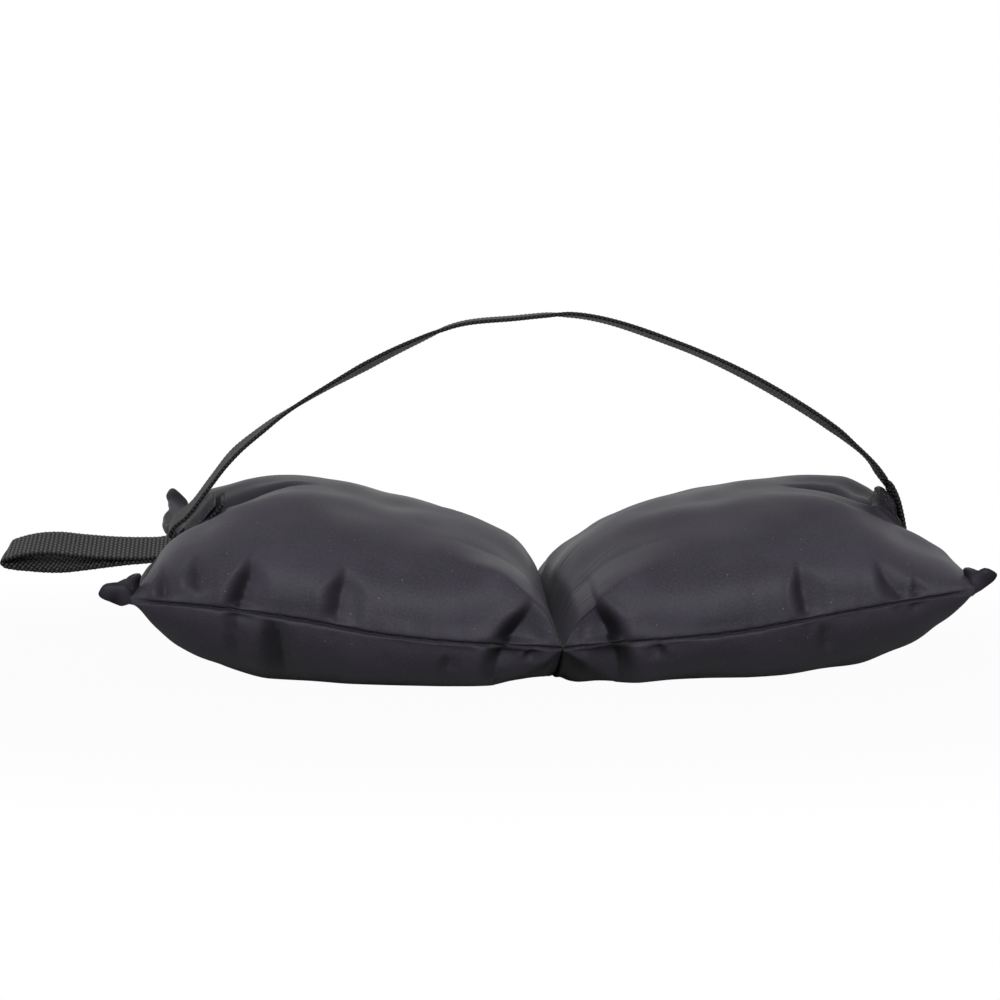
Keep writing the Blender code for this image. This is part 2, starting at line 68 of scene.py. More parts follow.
PINCH_WIDTH = 0.027
HIP_START = 0.12
HIP_END = 0.36
CLOSE_AT = 0.999
EAR_LENGTH = 0.011
EAR_SPREAD = 0.002
EAR_PARTING = {"left": {1: 0.0042, -1: 0.0016}, "right": {1: 0.0044, -1: 0.0006}}
LIP_RADIUS = 0.0010
EAR_LIP = 0.0026
EAR_OPENING = 0.0008
WEBBING_THICKNESS = 0.0016
LOOP_WEBBING = 0.0014

# Fineness of the meshes
POUCH_ROWS = 176
FOLD_STEP = 0.0012
SEAM_STEP = 0.00032
SEAM_STEP_GROWTH = 1.18
FILL_ROWS = 44
HEM_ROWS = 230
HEM_COLUMNS = 15
PATH_SAMPLES = 3000

# Seams, gathers and folds. Fold depths are in millimetres.
SEAM_DEPTH = 0.0015
SEAM_WIDTH = 0.00065
SEAM_ROLL = 0.00015
# How dark the shade painted along the side seams is
SEAM_SHADE = 0.85
GATHER_REACH = 0.06
GATHER_HEIGHT = 0.00028
PUCKER_HEIGHT = 0.0004
PUCKER_REACH = 0.010
FRONT_PUCKERS = 0.65
SLOW_BUMPS = 0.0017
SMALL_BUMPS = 0.0009
FOLD_RUN_OUT = 0.3
# The fold depth at which a fold's painted shade is full, and the strength of the top folds' painted shade
FULL_SHADE_DEPTH = 5.5
TOP_FOLD_SHADE = 0.95

# End hems
HEM_SPAN = 0.998
HEM_START = -0.0022
HEM_LONGEST = 0.0145
HEM_END_TAPER = 400

# Liner and sand: their size as a share of the pouch's, and where along it they start and stop
LINER_FIT = (0.90, 0.05, 0.86)
SAND_FIT = (0.85, 0.07, 0.84)

# Weaves of the cloth and the webbing
WEAVE_PITCH = 0.0009
RIB_PITCH = 0.00187
RIB_SLANT = 66.0
RIB_HEIGHT = 0.00022
RIB_SHARPNESS = 0.8
RIB_MIDDLE = 0.6
RIB_BULGE = 0.00012
RIM_THINNING = 0.12
RIM_BULGE = 0.0003
BEAD_PITCH = 0.0030
BEAD_HEIGHT = 0.00008
STRAP_WIDTH = 0.025
PATH_STEP = RIB_PITCH / 5

# Thread
THREAD_RADIUS = 0.00028
STITCH_BOW = 0.25
HEM_STITCH_AT = 0.0035
HEM_STITCHES = 42
TACK_AT = 0.0062
TACK_HALF_HEIGHT = 0.0009
TACK_WIDTH = 0.020
TACK_STITCHES = 17

# Camera, light and floor
CAMERA_PLACE = (0.01058, -0.89563, 0.21681)
CAMERA_DOWN = 9.01
CAMERA_LENS = 74.55
CAMERA_SENSOR = 36.0
SKY_LIGHT = 0.145
FLOOR_HALF = 3.0


def cubic(at, value, slope, x):
    """The cubic through the knots with those slopes, read at x."""
    i = np.clip(np.searchsorted(at, x) - 1, 0, len(at) - 2)
    step = at[i + 1] - at[i]
    h = (x - at[i]) / step
    return (
        value[i] * (1 + 2 * h) * (1 - h) ** 2
        + slope[i] * step * h * (1 - h) ** 2
        + value[i + 1] * h * h * (3 - 2 * h)
        + slope[i + 1] * step * h * h * (h - 1)
    )


def smooth_curve(knots, x):
    """Cubic through the knots (position, value) with no overshoot between them."""
    at, value = np.array(knots, float).T
    step = np.diff(at)
    rise = np.diff(value) / step
    slope = np.zeros(len(at))
    slope[0], slope[-1] = rise[0], rise[-1]
    for i in range(1, len(at) - 1):
        if rise[i - 1] * rise[i] > 0:
            first = 2 * step[i] + step[i - 1]
            second = step[i] + 2 * step[i - 1]
            slope[i] = (first + second) / (first / rise[i - 1] + second / rise[i])
    return cubic(at, value, slope, np.clip(x, at[0], at[-1]))


def points_at(x, y, z):
    """Points with those coordinates, over the grid that they span together."""
    return np.stack(np.broadcast_arrays(x, y, z), axis=-1)


def distance_along(points):
    """The distance from the first point to each, from point to point."""
    return np.r_[0, np.cumsum(np.linalg.norm(np.diff(points, axis=0), axis=1))]


def ease(x, start, end):
    h = np.clip((x - start) / (end - start), 0, 1)
    return h * h * (3 - 2 * h)


def bell(x, width):
    return np.exp(-((x / width) ** 2))


def drift(points, size, seed):
    """Smooth noise, from -1 to 1, over an array of points, with lumps of about that size."""
    shape = points.shape[:-1]
    shift = Vector((seed * 7.3, seed * 3.1, seed * 5.7))
    flat = (points / size).reshape(-1, 3).tolist()
    return np.array([noise.noise(Vector(p) + shift) for p in flat]).reshape(shape)


@dataclass
class Pouch:
    """One pouch. Its profiles run from the centre seam (0) to the end seam (1), as shares of its height."""

    side: str
    sign: int
    length: float
    front_corner_out: float
    back_corner_out: float
    end_rise: float
    front_corner_rise: float
    back_corner_rise: float
    seam: tuple
    front_crest: tuple
    middle: tuple
    back_crest: tuple
    belly: tuple
    belly_power: tuple
    hem_tilts: tuple
    hem_lengths: tuple
    stack: float

    def depth(self, t):
        return CENTRE_HALF_DEPTH + (HALF_DEPTH - CENTRE_HALF_DEPTH) * ease(t, 0, 0.3)

    def lateral(self, t, v):
        return -self.depth(t) * np.cos(math.pi * v)

    def pinch(self, v):
        return np.exp(-((self.lateral(1.0, v) / PINCH_WIDTH) ** 4))

    def along(self, t, v):
        y = self.lateral(t, v)
        start = CENTRE_X + CENTRE_SKEW * y
        corner = self.front_corner_out + (self.back_corner_out - self.front_corner_out) * ease(v, 0.2, 0.8)
        end = CENTRE_X + self.sign * (self.length + corner * (1 - self.pinch(v)))
        return start + t * (end - start)

    def seam_height(self, t, v):
        end = self.front_corner_rise + (self.back_corner_rise - self.front_corner_rise) * ease(v, 0, 1)
        end = end + (self.end_rise - end) * self.pinch(v)
        rise = smooth_curve(self.seam, t) + (end - self.seam[-1][1]) * ease(t, 0.6, 1.0)
        return POUCH_HEIGHT * rise

    def half_gap(self, t, v):
        """Half the distance between the outer faces of the top and the bottom cloth along their seams."""
        end = ease(t, 0.93, 1.0)
        stack = self.stack / 2 * ease(self.pinch(v), 0.02, 0.55)
        ears = EAR_OPENING / 2 * self.ear(v)
        return SEAM_GAP + CLOTH * end + (stack + ears) * end

    def top(self, t, v):
        arch = np.sin(math.pi * v) ** CROWN_POWER
        crest_arch = math.sqrt(1 - (CREST_OFFSET / HALF_DEPTH) ** 2) ** CROWN_POWER
        seam = self.seam_height(t, v)
        middle = np.exp(-(((v - 0.5) / 0.11) ** 2))
        back = ease(v, 0.35, 0.65)
        crest = (1 - back) * smooth_curve(self.front_crest, t) + back * smooth_curve(self.back_crest, t)
        bulge = seam + (POUCH_HEIGHT * crest - seam) / crest_arch
        peak = (1 - middle) * bulge + middle * POUCH_HEIGHT * smooth_curve(self.middle, t)
        rise = np.maximum(peak - seam, 0) * (1 - ease(t, CLOSE_AT, 1.0))
        past_hip = smooth_curve(self.front_crest, np.maximum(t, HIP_END))
        full = POUCH_HEIGHT * (past_hip - CENTRE_RISE) / crest_arch
        face = np.maximum(full - (seam - POUCH_HEIGHT * CENTRE_RISE), rise) * arch
        flank = rise * np.maximum(arch, crest_arch * (arch / crest_arch) ** 0.15)
        crease = (face + flank - np.sqrt((face - flank) ** 2 + CREASE_RADIUS**2)) / 2
        hip = (1 - ease(t, HIP_START, HIP_END)) * (1 - ease(v, 0.4, 0.55))
        return seam + self.half_gap(t, v) + np.maximum(rise * arch * (1 - hip) + crease * hip, 0)

    def bottom(self, t, v):
        arch = np.sin(math.pi * v) ** smooth_curve(self.belly_power, t)
        seam = self.seam_height(t, v)
        sag = np.maximum(seam - POUCH_HEIGHT * smooth_curve(self.belly, t), 0)
        low = seam - sag * (1 - ease(t, CLOSE_AT, 1.0)) * arch
        return np.maximum(low - self.half_gap(t, v), 0.0)

    def ear(self, v):
        return np.abs(2 * v - 1) ** 4

    def hem_point(self, w, v, lift, more_tilt=0.0):
        """Points of the end hem, w out from the end seam and lift above its middle surface."""
        y = self.lateral(1.0, v)
        tilt = np.radians(smooth_curve(self.hem_tilts, v)) + more_tilt
        x = self.along(1.0, v) + self.sign * (w * np.cos(tilt) - lift * np.sin(tilt))
        z = self.seam_height(1.0, v) + w * np.sin(tilt) + lift * np.cos(tilt)
        spread = np.sign(v - 0.5) * w / EAR_LENGTH * EAR_SPREAD * self.ear(v)
        return points_at(x, y + spread, z)


LEFT = Pouch(
    side="left",
    sign=-1,
    length=0.155,
    front_corner_out=0.014,
    back_corner_out=0.015,
    end_rise=0.7,
    front_corner_rise=0.588,
    back_corner_rise=0.713,
    seam=((0, CENTRE_RISE), (0.16, 0.356), (0.4, 0.406), (0.62, 0.494), (0.8, 0.544), (1, 0.575)),
    front_crest=((0, CENTRE_RISE), (0.04, 0.54), (0.15, 0.716), (0.41, 0.881), (0.71, 0.988), (0.86, 0.875),
                 (0.95, 0.75), (1, 0.6)),
    middle=((0, CENTRE_RISE), (0.03, 0.55), (0.15, 0.757), (0.41, 0.915), (0.7, 1.0), (0.89, 0.912),
            (0.96, 0.838), (1, 0.7)),
    back_crest=((0, CENTRE_RISE), (0.04, 0.52), (0.15, 0.708), (0.41, 0.887), (0.57, 0.972), (0.73, 0.982),
                (0.91, 0.915), (0.97, 0.812), (1, 0.688)),
    belly=((0, CENTRE_RISE), (0.004, 0.0), (0.015, 0.01), (0.038, 0.045), (0.108, 0.014), (0.167, -0.022),
           (0.3, -0.035), (0.5, -0.038), (0.6, -0.03), (0.715, -0.022), (0.81, 0.036), (0.905, 0.15),
           (0.963, 0.268), (1, 0.575)),
    belly_power=((0, 2.0), (0.01, 1.7), (0.02, 1.4), (0.035, 1.0), (0.1, 0.9), (0.25, 1.0), (0.5, 1.15),
                 (0.7, 1.3), (0.85, 1.25), (1, 1.2)),
    hem_tilts=((0, 13), (0.06, 15), (0.09, 40), (0.12, 88), (0.15, 104), (0.18, 70), (0.2, -65), (0.36, -70),
               (0.44, 0), (0.5, 12), (0.6, 30), (0.8, 34), (1, 48)),
    hem_lengths=((0, 12.4), (0.06, 12.2), (0.09, 8.5), (0.12, 8), (0.15, 9), (0.18, 7), (0.2, 4.8),
                 (0.38, 5), (0.5, 8), (0.65, 7), (0.75, 8), (0.86, 9.5), (0.92, 12.5), (1, 13)),
    stack=0.005,
)
RIGHT = Pouch(
    side="right",
    sign=1,
    length=0.1435,
    front_corner_out=0.0255,
    back_corner_out=0.012,
    end_rise=0.906,
    front_corner_rise=0.638,
    back_corner_rise=0.6,
    seam=((0, CENTRE_RISE), (0.16, 0.369), (0.4, 0.419), (0.62, 0.5), (0.8, 0.569), (1, 0.637)),
    front_crest=((0, CENTRE_RISE), (0.04, 0.525), (0.15, 0.7), (0.4, 0.881), (0.72, 0.975), (0.88, 0.822),
                 (0.95, 0.748), (1, 0.69)),
    middle=((0, CENTRE_RISE), (0.03, 0.537), (0.15, 0.737), (0.4, 0.925), (0.72, 0.994), (0.85, 0.97),
            (0.96, 0.925), (1, 0.906)),
    back_crest=((0, CENTRE_RISE), (0.04, 0.497), (0.15, 0.70), (0.27, 0.826), (0.4, 0.903), (0.57, 0.967),
                (0.74, 0.998), (0.857, 0.985), (0.913, 0.935), (0.967, 0.853), (1, 0.625)),
    belly=((0, CENTRE_RISE), (0.004, 0.0), (0.015, 0.01), (0.04, 0.0), (0.085, 0.0), (0.18, 0.0),
           (0.33, 0.0), (0.5, -0.005), (0.62, 0.018), (0.7, 0.044), (0.784, 0.066), (0.862, 0.145),
           (0.91, 0.204), (0.942, 0.262), (0.986, 0.42), (1, 0.625)),
    belly_power=((0, 1.6), (0.015, 1.4), (0.03, 1.2), (0.06, 1.0), (0.1, 1.05), (0.18, 0.9), (0.33, 1.15),
                 (0.5, 1.3), (0.7, 1.35), (1, 1.35)),
    hem_tilts=((0, 42), (0.06, 44), (0.09, 55), (0.12, 92), (0.16, 104), (0.19, 0), (0.25, -60), (0.4, -62),
               (0.45, -15), (0.5, 64), (0.6, 48), (0.72, 20), (1, 0)),
    hem_lengths=((0, 11.4), (0.05, 11), (0.09, 8.5), (0.12, 8), (0.16, 8.5), (0.2, 5), (0.42, 5), (0.5, 8),
                 (0.6, 7), (0.85, 7), (1, 10)),
    stack=0.0019,
)

# Folds in the cloth: millimetre points along each valley's line, seen from the front (right, up) or from the
# top (right, back), then its depth, the width of its steep wall and of its long slope, and the side that the
# long slope lies on: 1 right, -1 left or front
FRONT_FOLDS = {
    "left": (
        (((-88, 66), (-90, 57), (-92.5, 50), (-95, 41)), 4.8, 7.0, 12.0, 1),
        (((-51, 60), (-53.5, 50), (-55, 40)), 3.8, 7.0, 15.0, 1),
        (((-112, 64), (-110, 52)), 3.2, 6.0, 9.0, 1),
        (((-125.5, 59), (-123.5, 48)), 2.4, 4.0, 7.0, 1),
        (((24.5, 47), (21, 40), (16.5, 33), (12.5, 27), (9.5, 19)), 6.0, 8.0, 20.0, 1),
        (((24, 27), (22.5, 20)), 3.2, 3.5, 6.0, 1),
        (((-83, 44), (-78.5, 29), (-79.5, 15)), 4.2, 10.0, 12.0, 1),
        (((-98, 40), (-97, 24)), 1.5, 5.0, 9.0, 1),
        (((-12, 24), (-11, 16)), 2.1, 5.0, 9.0, 1),
    ),
    "right": (
        (((46, 50.5), (49, 43), (53, 34), (55.5, 25), (58.5, 15)), 6.5, 10.0, 18.0, -1),
        (((74, 30), (75.5, 23)), 2.4, 4.0, 7.0, -1),
        (((130.5, 63), (131.5, 52), (134, 40)), 3.8, 5.5, 12.0, 1),
        (((161, 64), (166, 56), (172, 47)), 3.4, 7.0, 9.0, 1),
        (((177, 58), (177.5, 43)), 2.6, 4.0, 6.0, 1),
        (((140, 38), (143, 25)), 2.4, 5.0, 9.0, 1),
    ),
}
TOP_FOLDS = {
    "left": ((((-68, 8), (-84, 6.5), (-98, 5), (-107, 3.5), (-117, 0.5), (-130, -7)), 4.4, 14.0, 4.5, -1),),
    "right": ((((133, 9), (149, 7), (161, 2), (175, -7)), 4.6, 14.0, 4.5, -1),),
}


def seam_to_middle(pouch, upper):
    """Shares v across a panel, close together at its two seams and FOLD_STEP apart between them."""
    fine = np.r_[np.geomspace(1e-5, 0.03, 400), np.linspace(0.03, 0.5, 600)[1:]]
    z = pouch.top(0.5, fine) if upper else pouch.bottom(0.5, fine)
    gone = np.r_[0, np.cumsum(np.hypot(np.diff(pouch.lateral(0.5, fine)), np.diff(z)))]
    at, step = [0.0], SEAM_STEP
    while at[-1] + step < gone[-1] - FOLD_STEP / 2:
        at.append(at[-1] + step)
        step = min(step * SEAM_STEP_GROWTH, FOLD_STEP)
    half = np.r_[0, np.interp(at[1:], gone, fine), 0.5]
    return np.r_[half, 1 - half[-2::-1]]


def rows_along():
    """Shares t along a pouch, closer together at its two ends."""
    even = np.linspace(0, 1, POUCH_ROWS)
    return even - 0.10 * np.sin(2 * math.pi * even) * np.abs(np.cos(math.pi * even))


def outward(grid):
    """Unit normals of a grid of points whose second direction closes on itself."""
    wide = np.concatenate([grid[:, -1:], grid, grid[:, :1]], axis=1)
    across = wide[:, 2:] - wide[:, :-2]
    along = np.gradient(grid, axis=0)
    normal = np.cross(along, across)
    return normal / np.maximum(np.linalg.norm(normal, axis=2, keepdims=True), 1e-12)


def fold_height(points, turned, line, deep, steep, gentle, side):
    """How far a fold moves the cloth, over points seen flat, and how strongly they take the shade painted
    into the cloth's colour at its steep wall and valley: a crisp valley along its line, with a short steep
    wall on one side and a long slope on the other. Turned is the axis that tells the sides apart."""
    line = np.array(line, float) / 1000
    legs = np.linalg.norm(np.diff(line, axis=0), axis=1)
    before = np.r_[0, np.cumsum(legs)] / legs.sum()
    nearest = np.full(points.shape[:-1], 1.0)
    past = np.zeros_like(nearest)
    place = np.zeros_like(nearest)
    for k, leg in enumerate(legs):
        run = line[k + 1] - line[k]
        reach = points - line[k]
        low = -FOLD_RUN_OUT if k == 0 else 0
        high = 1 + FOLD_RUN_OUT if k == len(legs) - 1 else 1
        share = np.clip((reach @ run) / leg**2, low, high)
        off = reach - share[..., None] * run
        gap = np.linalg.norm(off, axis=-1)
        closer = gap < nearest
        nearest = np.where(closer, gap, nearest)
        past = np.where(closer, off[..., turned], past)
        place = np.where(closer, before[k] + share * (before[k + 1] - before[k]), place)
    fade = ease(place, -0.03, 0.42) * (1 - ease(place, 0.8, 1.28))
    sloping = past * side > 0
    width = np.where(sloping, gentle, steep) / 1000 * (0.4 + 0.6 * ease(place, 0.0, 0.6))
    level = np.clip(1 - nearest / width, 0, 1)
    rim = 0.2 * bell((nearest / width) - 1.05, 0.42) * ~sloping
    # Painted shade: the steep wall and the valley line of the fold, darkened in the cloth's colour
    wall = np.where(sloping, 1 - ease(nearest, 0, 0.001), 1 - ease(nearest / width, 0.4, 1.1))
    return deep / 1000 * fade * (rim - level**1.6), min(deep / FULL_SHADE_DEPTH, 1.0) * fade**0.7 * wall


def folds(pouch, grid, upper, from_seam, resting):
    """How far the pouch's folds move its cloth out, and how strongly the shade painted into the cloth's
    colour in them darkens each point.
    """
    out = np.zeros(upper.shape)
    painted_shade = np.zeros(upper.shape)
    front = ease(-grid[..., 1], 0.03, 0.045)
    for fold in FRONT_FOLDS[pouch.side]:
        move, wall = fold_height(grid[..., [0, 2]], 0, *fold)
        out += move * front * ease(from_seam, 0.0002, 0.0035) * resting
        painted_shade = np.maximum(painted_shade, wall * front)
    for fold in TOP_FOLDS[pouch.side]:
        move, wall = fold_height(grid[..., :2], 1, *fold)
        out += move * upper
        painted_shade = np.maximum(painted_shade, TOP_FOLD_SHADE * wall * upper)
    return out, painted_shade


def seam_shade(pouch, t, v, grid, upper, from_seam):
    """The shade painted into the cloth's colour in the pinched nook under the centre seam and in the groove
    of the side seams.
    """
    below = np.maximum(pouch.seam_height(t, v) - grid[..., 2], 1e-4)
    from_pinch = np.abs(grid[..., 0] - pouch.along(0.0, v))
    nook = (1 - ease(from_pinch / below, 0.8, 1.2)) * ease(below, 0.0004, 0.002) * ~upper
    along_seam = bell(from_seam, 0.0010) * bell(np.minimum(v, 1 - v), 0.03) * (1 - ease(t, 0.97, 1.0))
    return np.maximum(nook, SEAM_SHADE * along_seam)


def ripples(place, wander, pitch, fine_pitch, fine_share, fine_wander):
    """Waves at two pitches whose lines wander."""
    fine = np.sin(2 * math.pi * (place + fine_wander * wander) / fine_pitch)
    return np.sin(2 * math.pi * (place + wander) / pitch) + fine_share * fine


def gathers(t, near_edge, grid):
    """The fine pleats that run out from the centre seam, in patches."""
    reach = np.exp(-t / GATHER_REACH) * ease(t, 0, 0.02) * ease(near_edge, 0.02, 0.12)
    wander = 0.0016 * drift(grid * (0.35, 1, 0.35), 0.010, 3)
    pleats = ripples(grid[..., 1], wander, 0.0041, 0.0067, 0.7, 1.7)
    return GATHER_HEIGHT * reach * pleats * ease(drift(grid * (0.5, 1, 0.5), 0.018, 5), -0.25, 0.35)


def puckers(t, near_edge, grid, from_seam):
    """The short puckers along the side seams, softer at the front."""
    shift = 0.004 * drift(grid * (1, 0.3, 0.3), 0.022, 4)
    waves = ripples(grid[..., 0], shift, 0.0093, 0.0058, 0.6, 1.6)
    strength = PUCKER_HEIGHT * np.where(grid[..., 1] > 0, 1.0, FRONT_PUCKERS)
    fade = np.exp(-from_seam / PUCKER_REACH)
    return strength * fade * waves * bell(near_edge, 0.16) * ease(t, 0, 0.05) * (1 - ease(t, 0.95, 1))


def cloth_grid(pouch):
    """The pouch's outer cloth as a grid of points, and how strongly the shade painted into its colour in its
    folds and seams darkens each. Rows run from the centre seam to the end seam, and columns once round from
    the front seam over the top to the back seam and underneath back to the front."""
    t = rows_along()[:, None]
    over = seam_to_middle(pouch, True)[None, :]
    under = seam_to_middle(pouch, False)[None, ::-1]
    v = np.concatenate([over, under], axis=1)
    z = np.concatenate([pouch.top(t, over), pouch.bottom(t, under)], axis=1)
    grid = points_at(pouch.along(t, v), pouch.lateral(t, v), z)
    upper = np.broadcast_to(np.arange(v.shape[1])[None, :] < over.shape[1], z.shape)
    from_seam = np.abs(grid[..., 2] - pouch.seam_height(t, v))
    near_edge = np.minimum(v, 1 - v)
    lie = outward(grid) * pouch.sign
    resting = np.where(upper, 1.0, ease(grid[..., 2], 0.0005, 0.012))
    out, painted_shade = folds(pouch, grid, upper, from_seam, resting)
    painted_shade = np.maximum(painted_shade, seam_shade(pouch, t, v, grid, upper, from_seam))
    calm = ease(t, 0, 0.05) * (1 - ease(t, 0.93, 1.0)) * ease(near_edge, 0.0, 0.03)
    out += SLOW_BUMPS * drift(grid * (1, 0.7, 1), 0.040, 1) * calm * resting
    out += SMALL_BUMPS * drift(grid * (1, 0.6, 0.8), 0.016, 2) * calm * resting
    out += gathers(t, near_edge, grid)
    out += puckers(t, near_edge, grid, from_seam)
    grid += lie * out[..., None]
    groove = SEAM_DEPTH * bell(from_seam, SEAM_WIDTH) - SEAM_ROLL * bell(from_seam - 0.0021, 0.0013)
    grid[..., 1] -= np.sign(grid[..., 1]) * groove * bell(near_edge, 0.03) * (1 - ease(t, 0.97, 1.0))
    grid[..., 2] = np.maximum(grid[..., 2], 0.0)
    return grid, painted_shade


def mesh_object(name, points, faces, cut, finish, smooth=True, painted_shade=None):
    """A mesh with the finish. Each point keeps its place on the flat cloth (metres along and across), and
    how strongly the shade painted into its colour darkens it."""
    mesh = bpy.data.meshes.new(name)
    mesh.from_pydata(np.asarray(points).reshape(-1, 3).tolist(), [], faces)
    mesh.update()
    weave = mesh.attributes.new("cut", "FLOAT_VECTOR", "POINT")
    weave.data.foreach_set("vector", np.asarray(cut, np.float32).ravel())
    if painted_shade is not None:
        deep = mesh.attributes.new("painted_shade", "FLOAT", "POINT")
        deep.data.foreach_set("value", np.asarray(painted_shade, np.float32).ravel())
    if smooth:
        mesh.shade_smooth()
    made = bpy.data.objects.new(name, mesh)
    bpy.context.scene.collection.objects.link(made)
    made.data.materials.append(finish)
    return made


def ring_faces(rows, columns):
    """Faces of a grid whose columns close on themselves."""
    faces = []
    for i in range(rows - 1):
        a, b = i * columns, (i + 1) * columns
        for j in range(columns):
            k = (j + 1) % columns
            faces.append((a + j, a + k, b + k, b + j))
    return faces


def end_strip(first, columns, over, turned):
    """Faces that close a pouch's end between the top cloth's edge and the bottom cloth's."""
    under = columns - over
    faces = []
    for j in range(max(over, under) - 1):
        a, b = min(j, over - 1), min(j + 1, over - 1)
        c = round(j * (under - 1) / (over - 1))
        d = round((j + 1) * (under - 1) / (over - 1))
        loop = [first + a, first + b, first + columns - 1 - d, first + columns - 1 - c]
        if c == d:
            loop.pop()
        faces.append(tuple(loop[::-1] if turned else loop))
    return faces


def flat_place(grid):
    """How far along and across the cloth each grid point lies, in metres."""
    cut = np.zeros(grid.shape)
    cut[..., 0] = distance_along(grid[:, grid.shape[1] // 4])[:, None]
    cut[..., 1] = distance_along(grid[grid.shape[0] // 2])[None, :]
    return cut


def pouch_shell(name, pouch, grid, painted_shade, finish):
    rows, columns = grid.shape[:2]
    over = len(seam_to_middle(pouch, True))
    faces = ring_faces(rows, columns)
    if pouch.sign < 0:
        faces = [f[::-1] for f in faces]
    faces += end_strip(0, columns, over, pouch.sign < 0)
    faces += end_strip((rows - 1) * columns, columns, over, pouch.sign > 0)
    return mesh_object(name, grid, faces, flat_place(grid), finish, painted_shade=painted_shade)


def filling(name, pouch, grid, scale, start, stop, finish):
    """A body inside the pouch: its rings drawn in towards the middle and closed at both ends."""
    rows = np.linspace(start, stop, FILL_ROWS)
    t = rows_along()
    pick = [int(np.argmin(np.abs(t - r))) for r in rows]
    rings = grid[pick][:, ::4]
    count = rings.shape[1]
    full = (1 - np.abs(np.linspace(-1, 1, len(pick))) ** 5)[:, None, None] ** 0.5
    middle = rings.mean(axis=1, keepdims=True)
    body = middle + (rings - middle) * scale * np.maximum(full, 0.02)
    faces = ring_faces(len(pick), count)
    points = np.concatenate([body.reshape(-1, 3), body[0].mean(axis=0)[None], body[-1].mean(axis=0)[None]])
    tip = len(points) - 2
    last = (len(pick) - 1) * count
    faces += [(tip, (j + 1) % count, j) for j in range(count)]
    faces += [(tip + 1, last + j, last + (j + 1) % count) for j in range(count)]
    if pouch.sign < 0:
        faces = [f[::-1] for f in faces]
    return mesh_object(name, points, faces, points, finish)


def hem(name, pouch, finish):
    """The end hem: the two cloth layers sewn together outside the end seam, with a rolled lip that swells
    into an ear at each corner."""
    depth = np.linspace(-HEM_SPAN, HEM_SPAN, HEM_ROWS)[:, None]
    v = np.arccos(-depth) / math.pi
    y = pouch.lateral(1.0, v)
    where = points_at(pouch.sign * 0.3, y, 0.0)
    ear = pouch.ear(v)
    parted = ease(np.abs(2 * v - 1), 0.72, 0.95) * (1 - 0.6 * ease(v, 0.4, 0.6))
    tilt = 0.35 * drift(where, 0.015, 11) * (1 - 0.75 * pouch.pinch(v)) * (1 - ear)
    length = smooth_curve(pouch.hem_lengths, v) / 1000 * (1 + 0.14 * drift(where, 0.012, 13))
    length = np.minimum(length, HEM_LONGEST) - LIP_RADIUS - EAR_LIP * parted
    layer = pouch.half_gap(1.0, v)
    taper = np.sqrt(1 - np.abs(depth) ** HEM_END_TAPER)
    ring = []
    for face in (1, -1):
        side = []
        for share in np.linspace(0, 1, HEM_COLUMNS):
            lumps = 1 + (0.2 + 0.25 * ear) * drift(where + share * 0.006, 0.008, 15)
            swell = ease(share, 0.12, 0.5) * (1 - 0.12 * ease(share, 0.75, 1))
            thick = (layer + EAR_PARTING[pouch.side][face] * parted * swell) * lumps
            side.append((HEM_START + (length - HEM_START) * share, thick))
        for turn in (25, 48, 66, 80, 87):
            angle = math.radians(turn)
            lip = LIP_RADIUS + EAR_LIP * parted
            side.append((length + lip * math.sin(angle), thick * math.cos(angle)))
        points = []
        for w, thick in side:
            out = np.clip(w / EAR_LENGTH, 0, 1.2)
            frill = 0.0013 * out**1.5 * drift(where + (0.5, 0, 0), 0.011, 16)
            points.append(pouch.hem_point(w, v, face * thick * taper + frill, tilt * out))
        ring.append(points)
    grid = np.concatenate(ring[0] + ring[1][::-1], axis=1)
    rows, columns = grid.shape[:2]
    faces = ring_faces(rows, columns)
    first, last = 0, (rows - 1) * columns
    for k in range(columns // 2 - 1):
        a, b = k, k + 1
        c, d = columns - 1 - k, columns - 2 - k
        faces.append((first + a, first + c, first + d, first + b))
        faces.append((last + a, last + b, last + d, last + c))
    if pouch.sign < 0:
        faces = [f[::-1] for f in faces]
    # Painted shade: the hem's colour darkened by a lumpy amount, for the shade that it lies in
    shaded = np.clip(0.55 - 0.7 * drift(grid, 0.006, 17), 0, 1)
    return mesh_object(name, grid, faces, flat_place(grid), finish, painted_shade=shaded)


def even_path(points):
    """A smooth path through the points, with stations about PATH_STEP apart, and the distance to each."""
    points = np.array(points, float)
    chord = distance_along(points)
    fine = np.linspace(0, chord[-1], PATH_SAMPLES)
    smooth = np.stack([cubic(chord, line, np.gradient(line, chord), fine) for line in points.T], axis=1)
    gone = distance_along(smooth)
    count = max(2, round(gone[-1] / PATH_STEP))
    at = np.linspace(0, gone[-1], count + 1)
    return np.stack([np.interp(at, gone, line) for line in smooth.T], axis=1), at


def rolled(path, roll):
    """Unit vectors towards the near edge of a strip along a path, rolled by so many radians about it, which
    lowers that edge where the path runs to the right."""
    tangent = np.gradient(np.asarray(path, float), axis=0)
    tangent /= np.linalg.norm(tangent, axis=1, keepdims=True)
    roll = np.broadcast_to(roll, len(tangent))
    return np.stack([tangent[:, 1] * np.sin(roll), -np.cos(roll), -tangent[:, 0] * np.sin(roll)], axis=1)


def webbing_ends(rows, columns, cells):
    """Faces that close both ends of a strip of webbing, whose edges have three points each."""
    n = cells + 1
    faces = []
    for first, turned in ((0, False), ((rows - 1) * columns, True)):
        top = list(range(first, first + n))
        under = list(range(first + n + 3, first + 2 * n + 3))[::-1]
        right = list(range(first + n, first + n + 3))
        left = list(range(first + 2 * n + 3, first + 2 * n + 6))
        loops = [(top[k], under[k], under[k + 1], top[k + 1]) for k in range(n - 1)]
        loops.append((top[-1], under[-1], *right[::-1]))
        loops.append((under[0], top[0], *left[::-1]))
        faces += [f[::-1] for f in loops] if turned else loops
    return faces


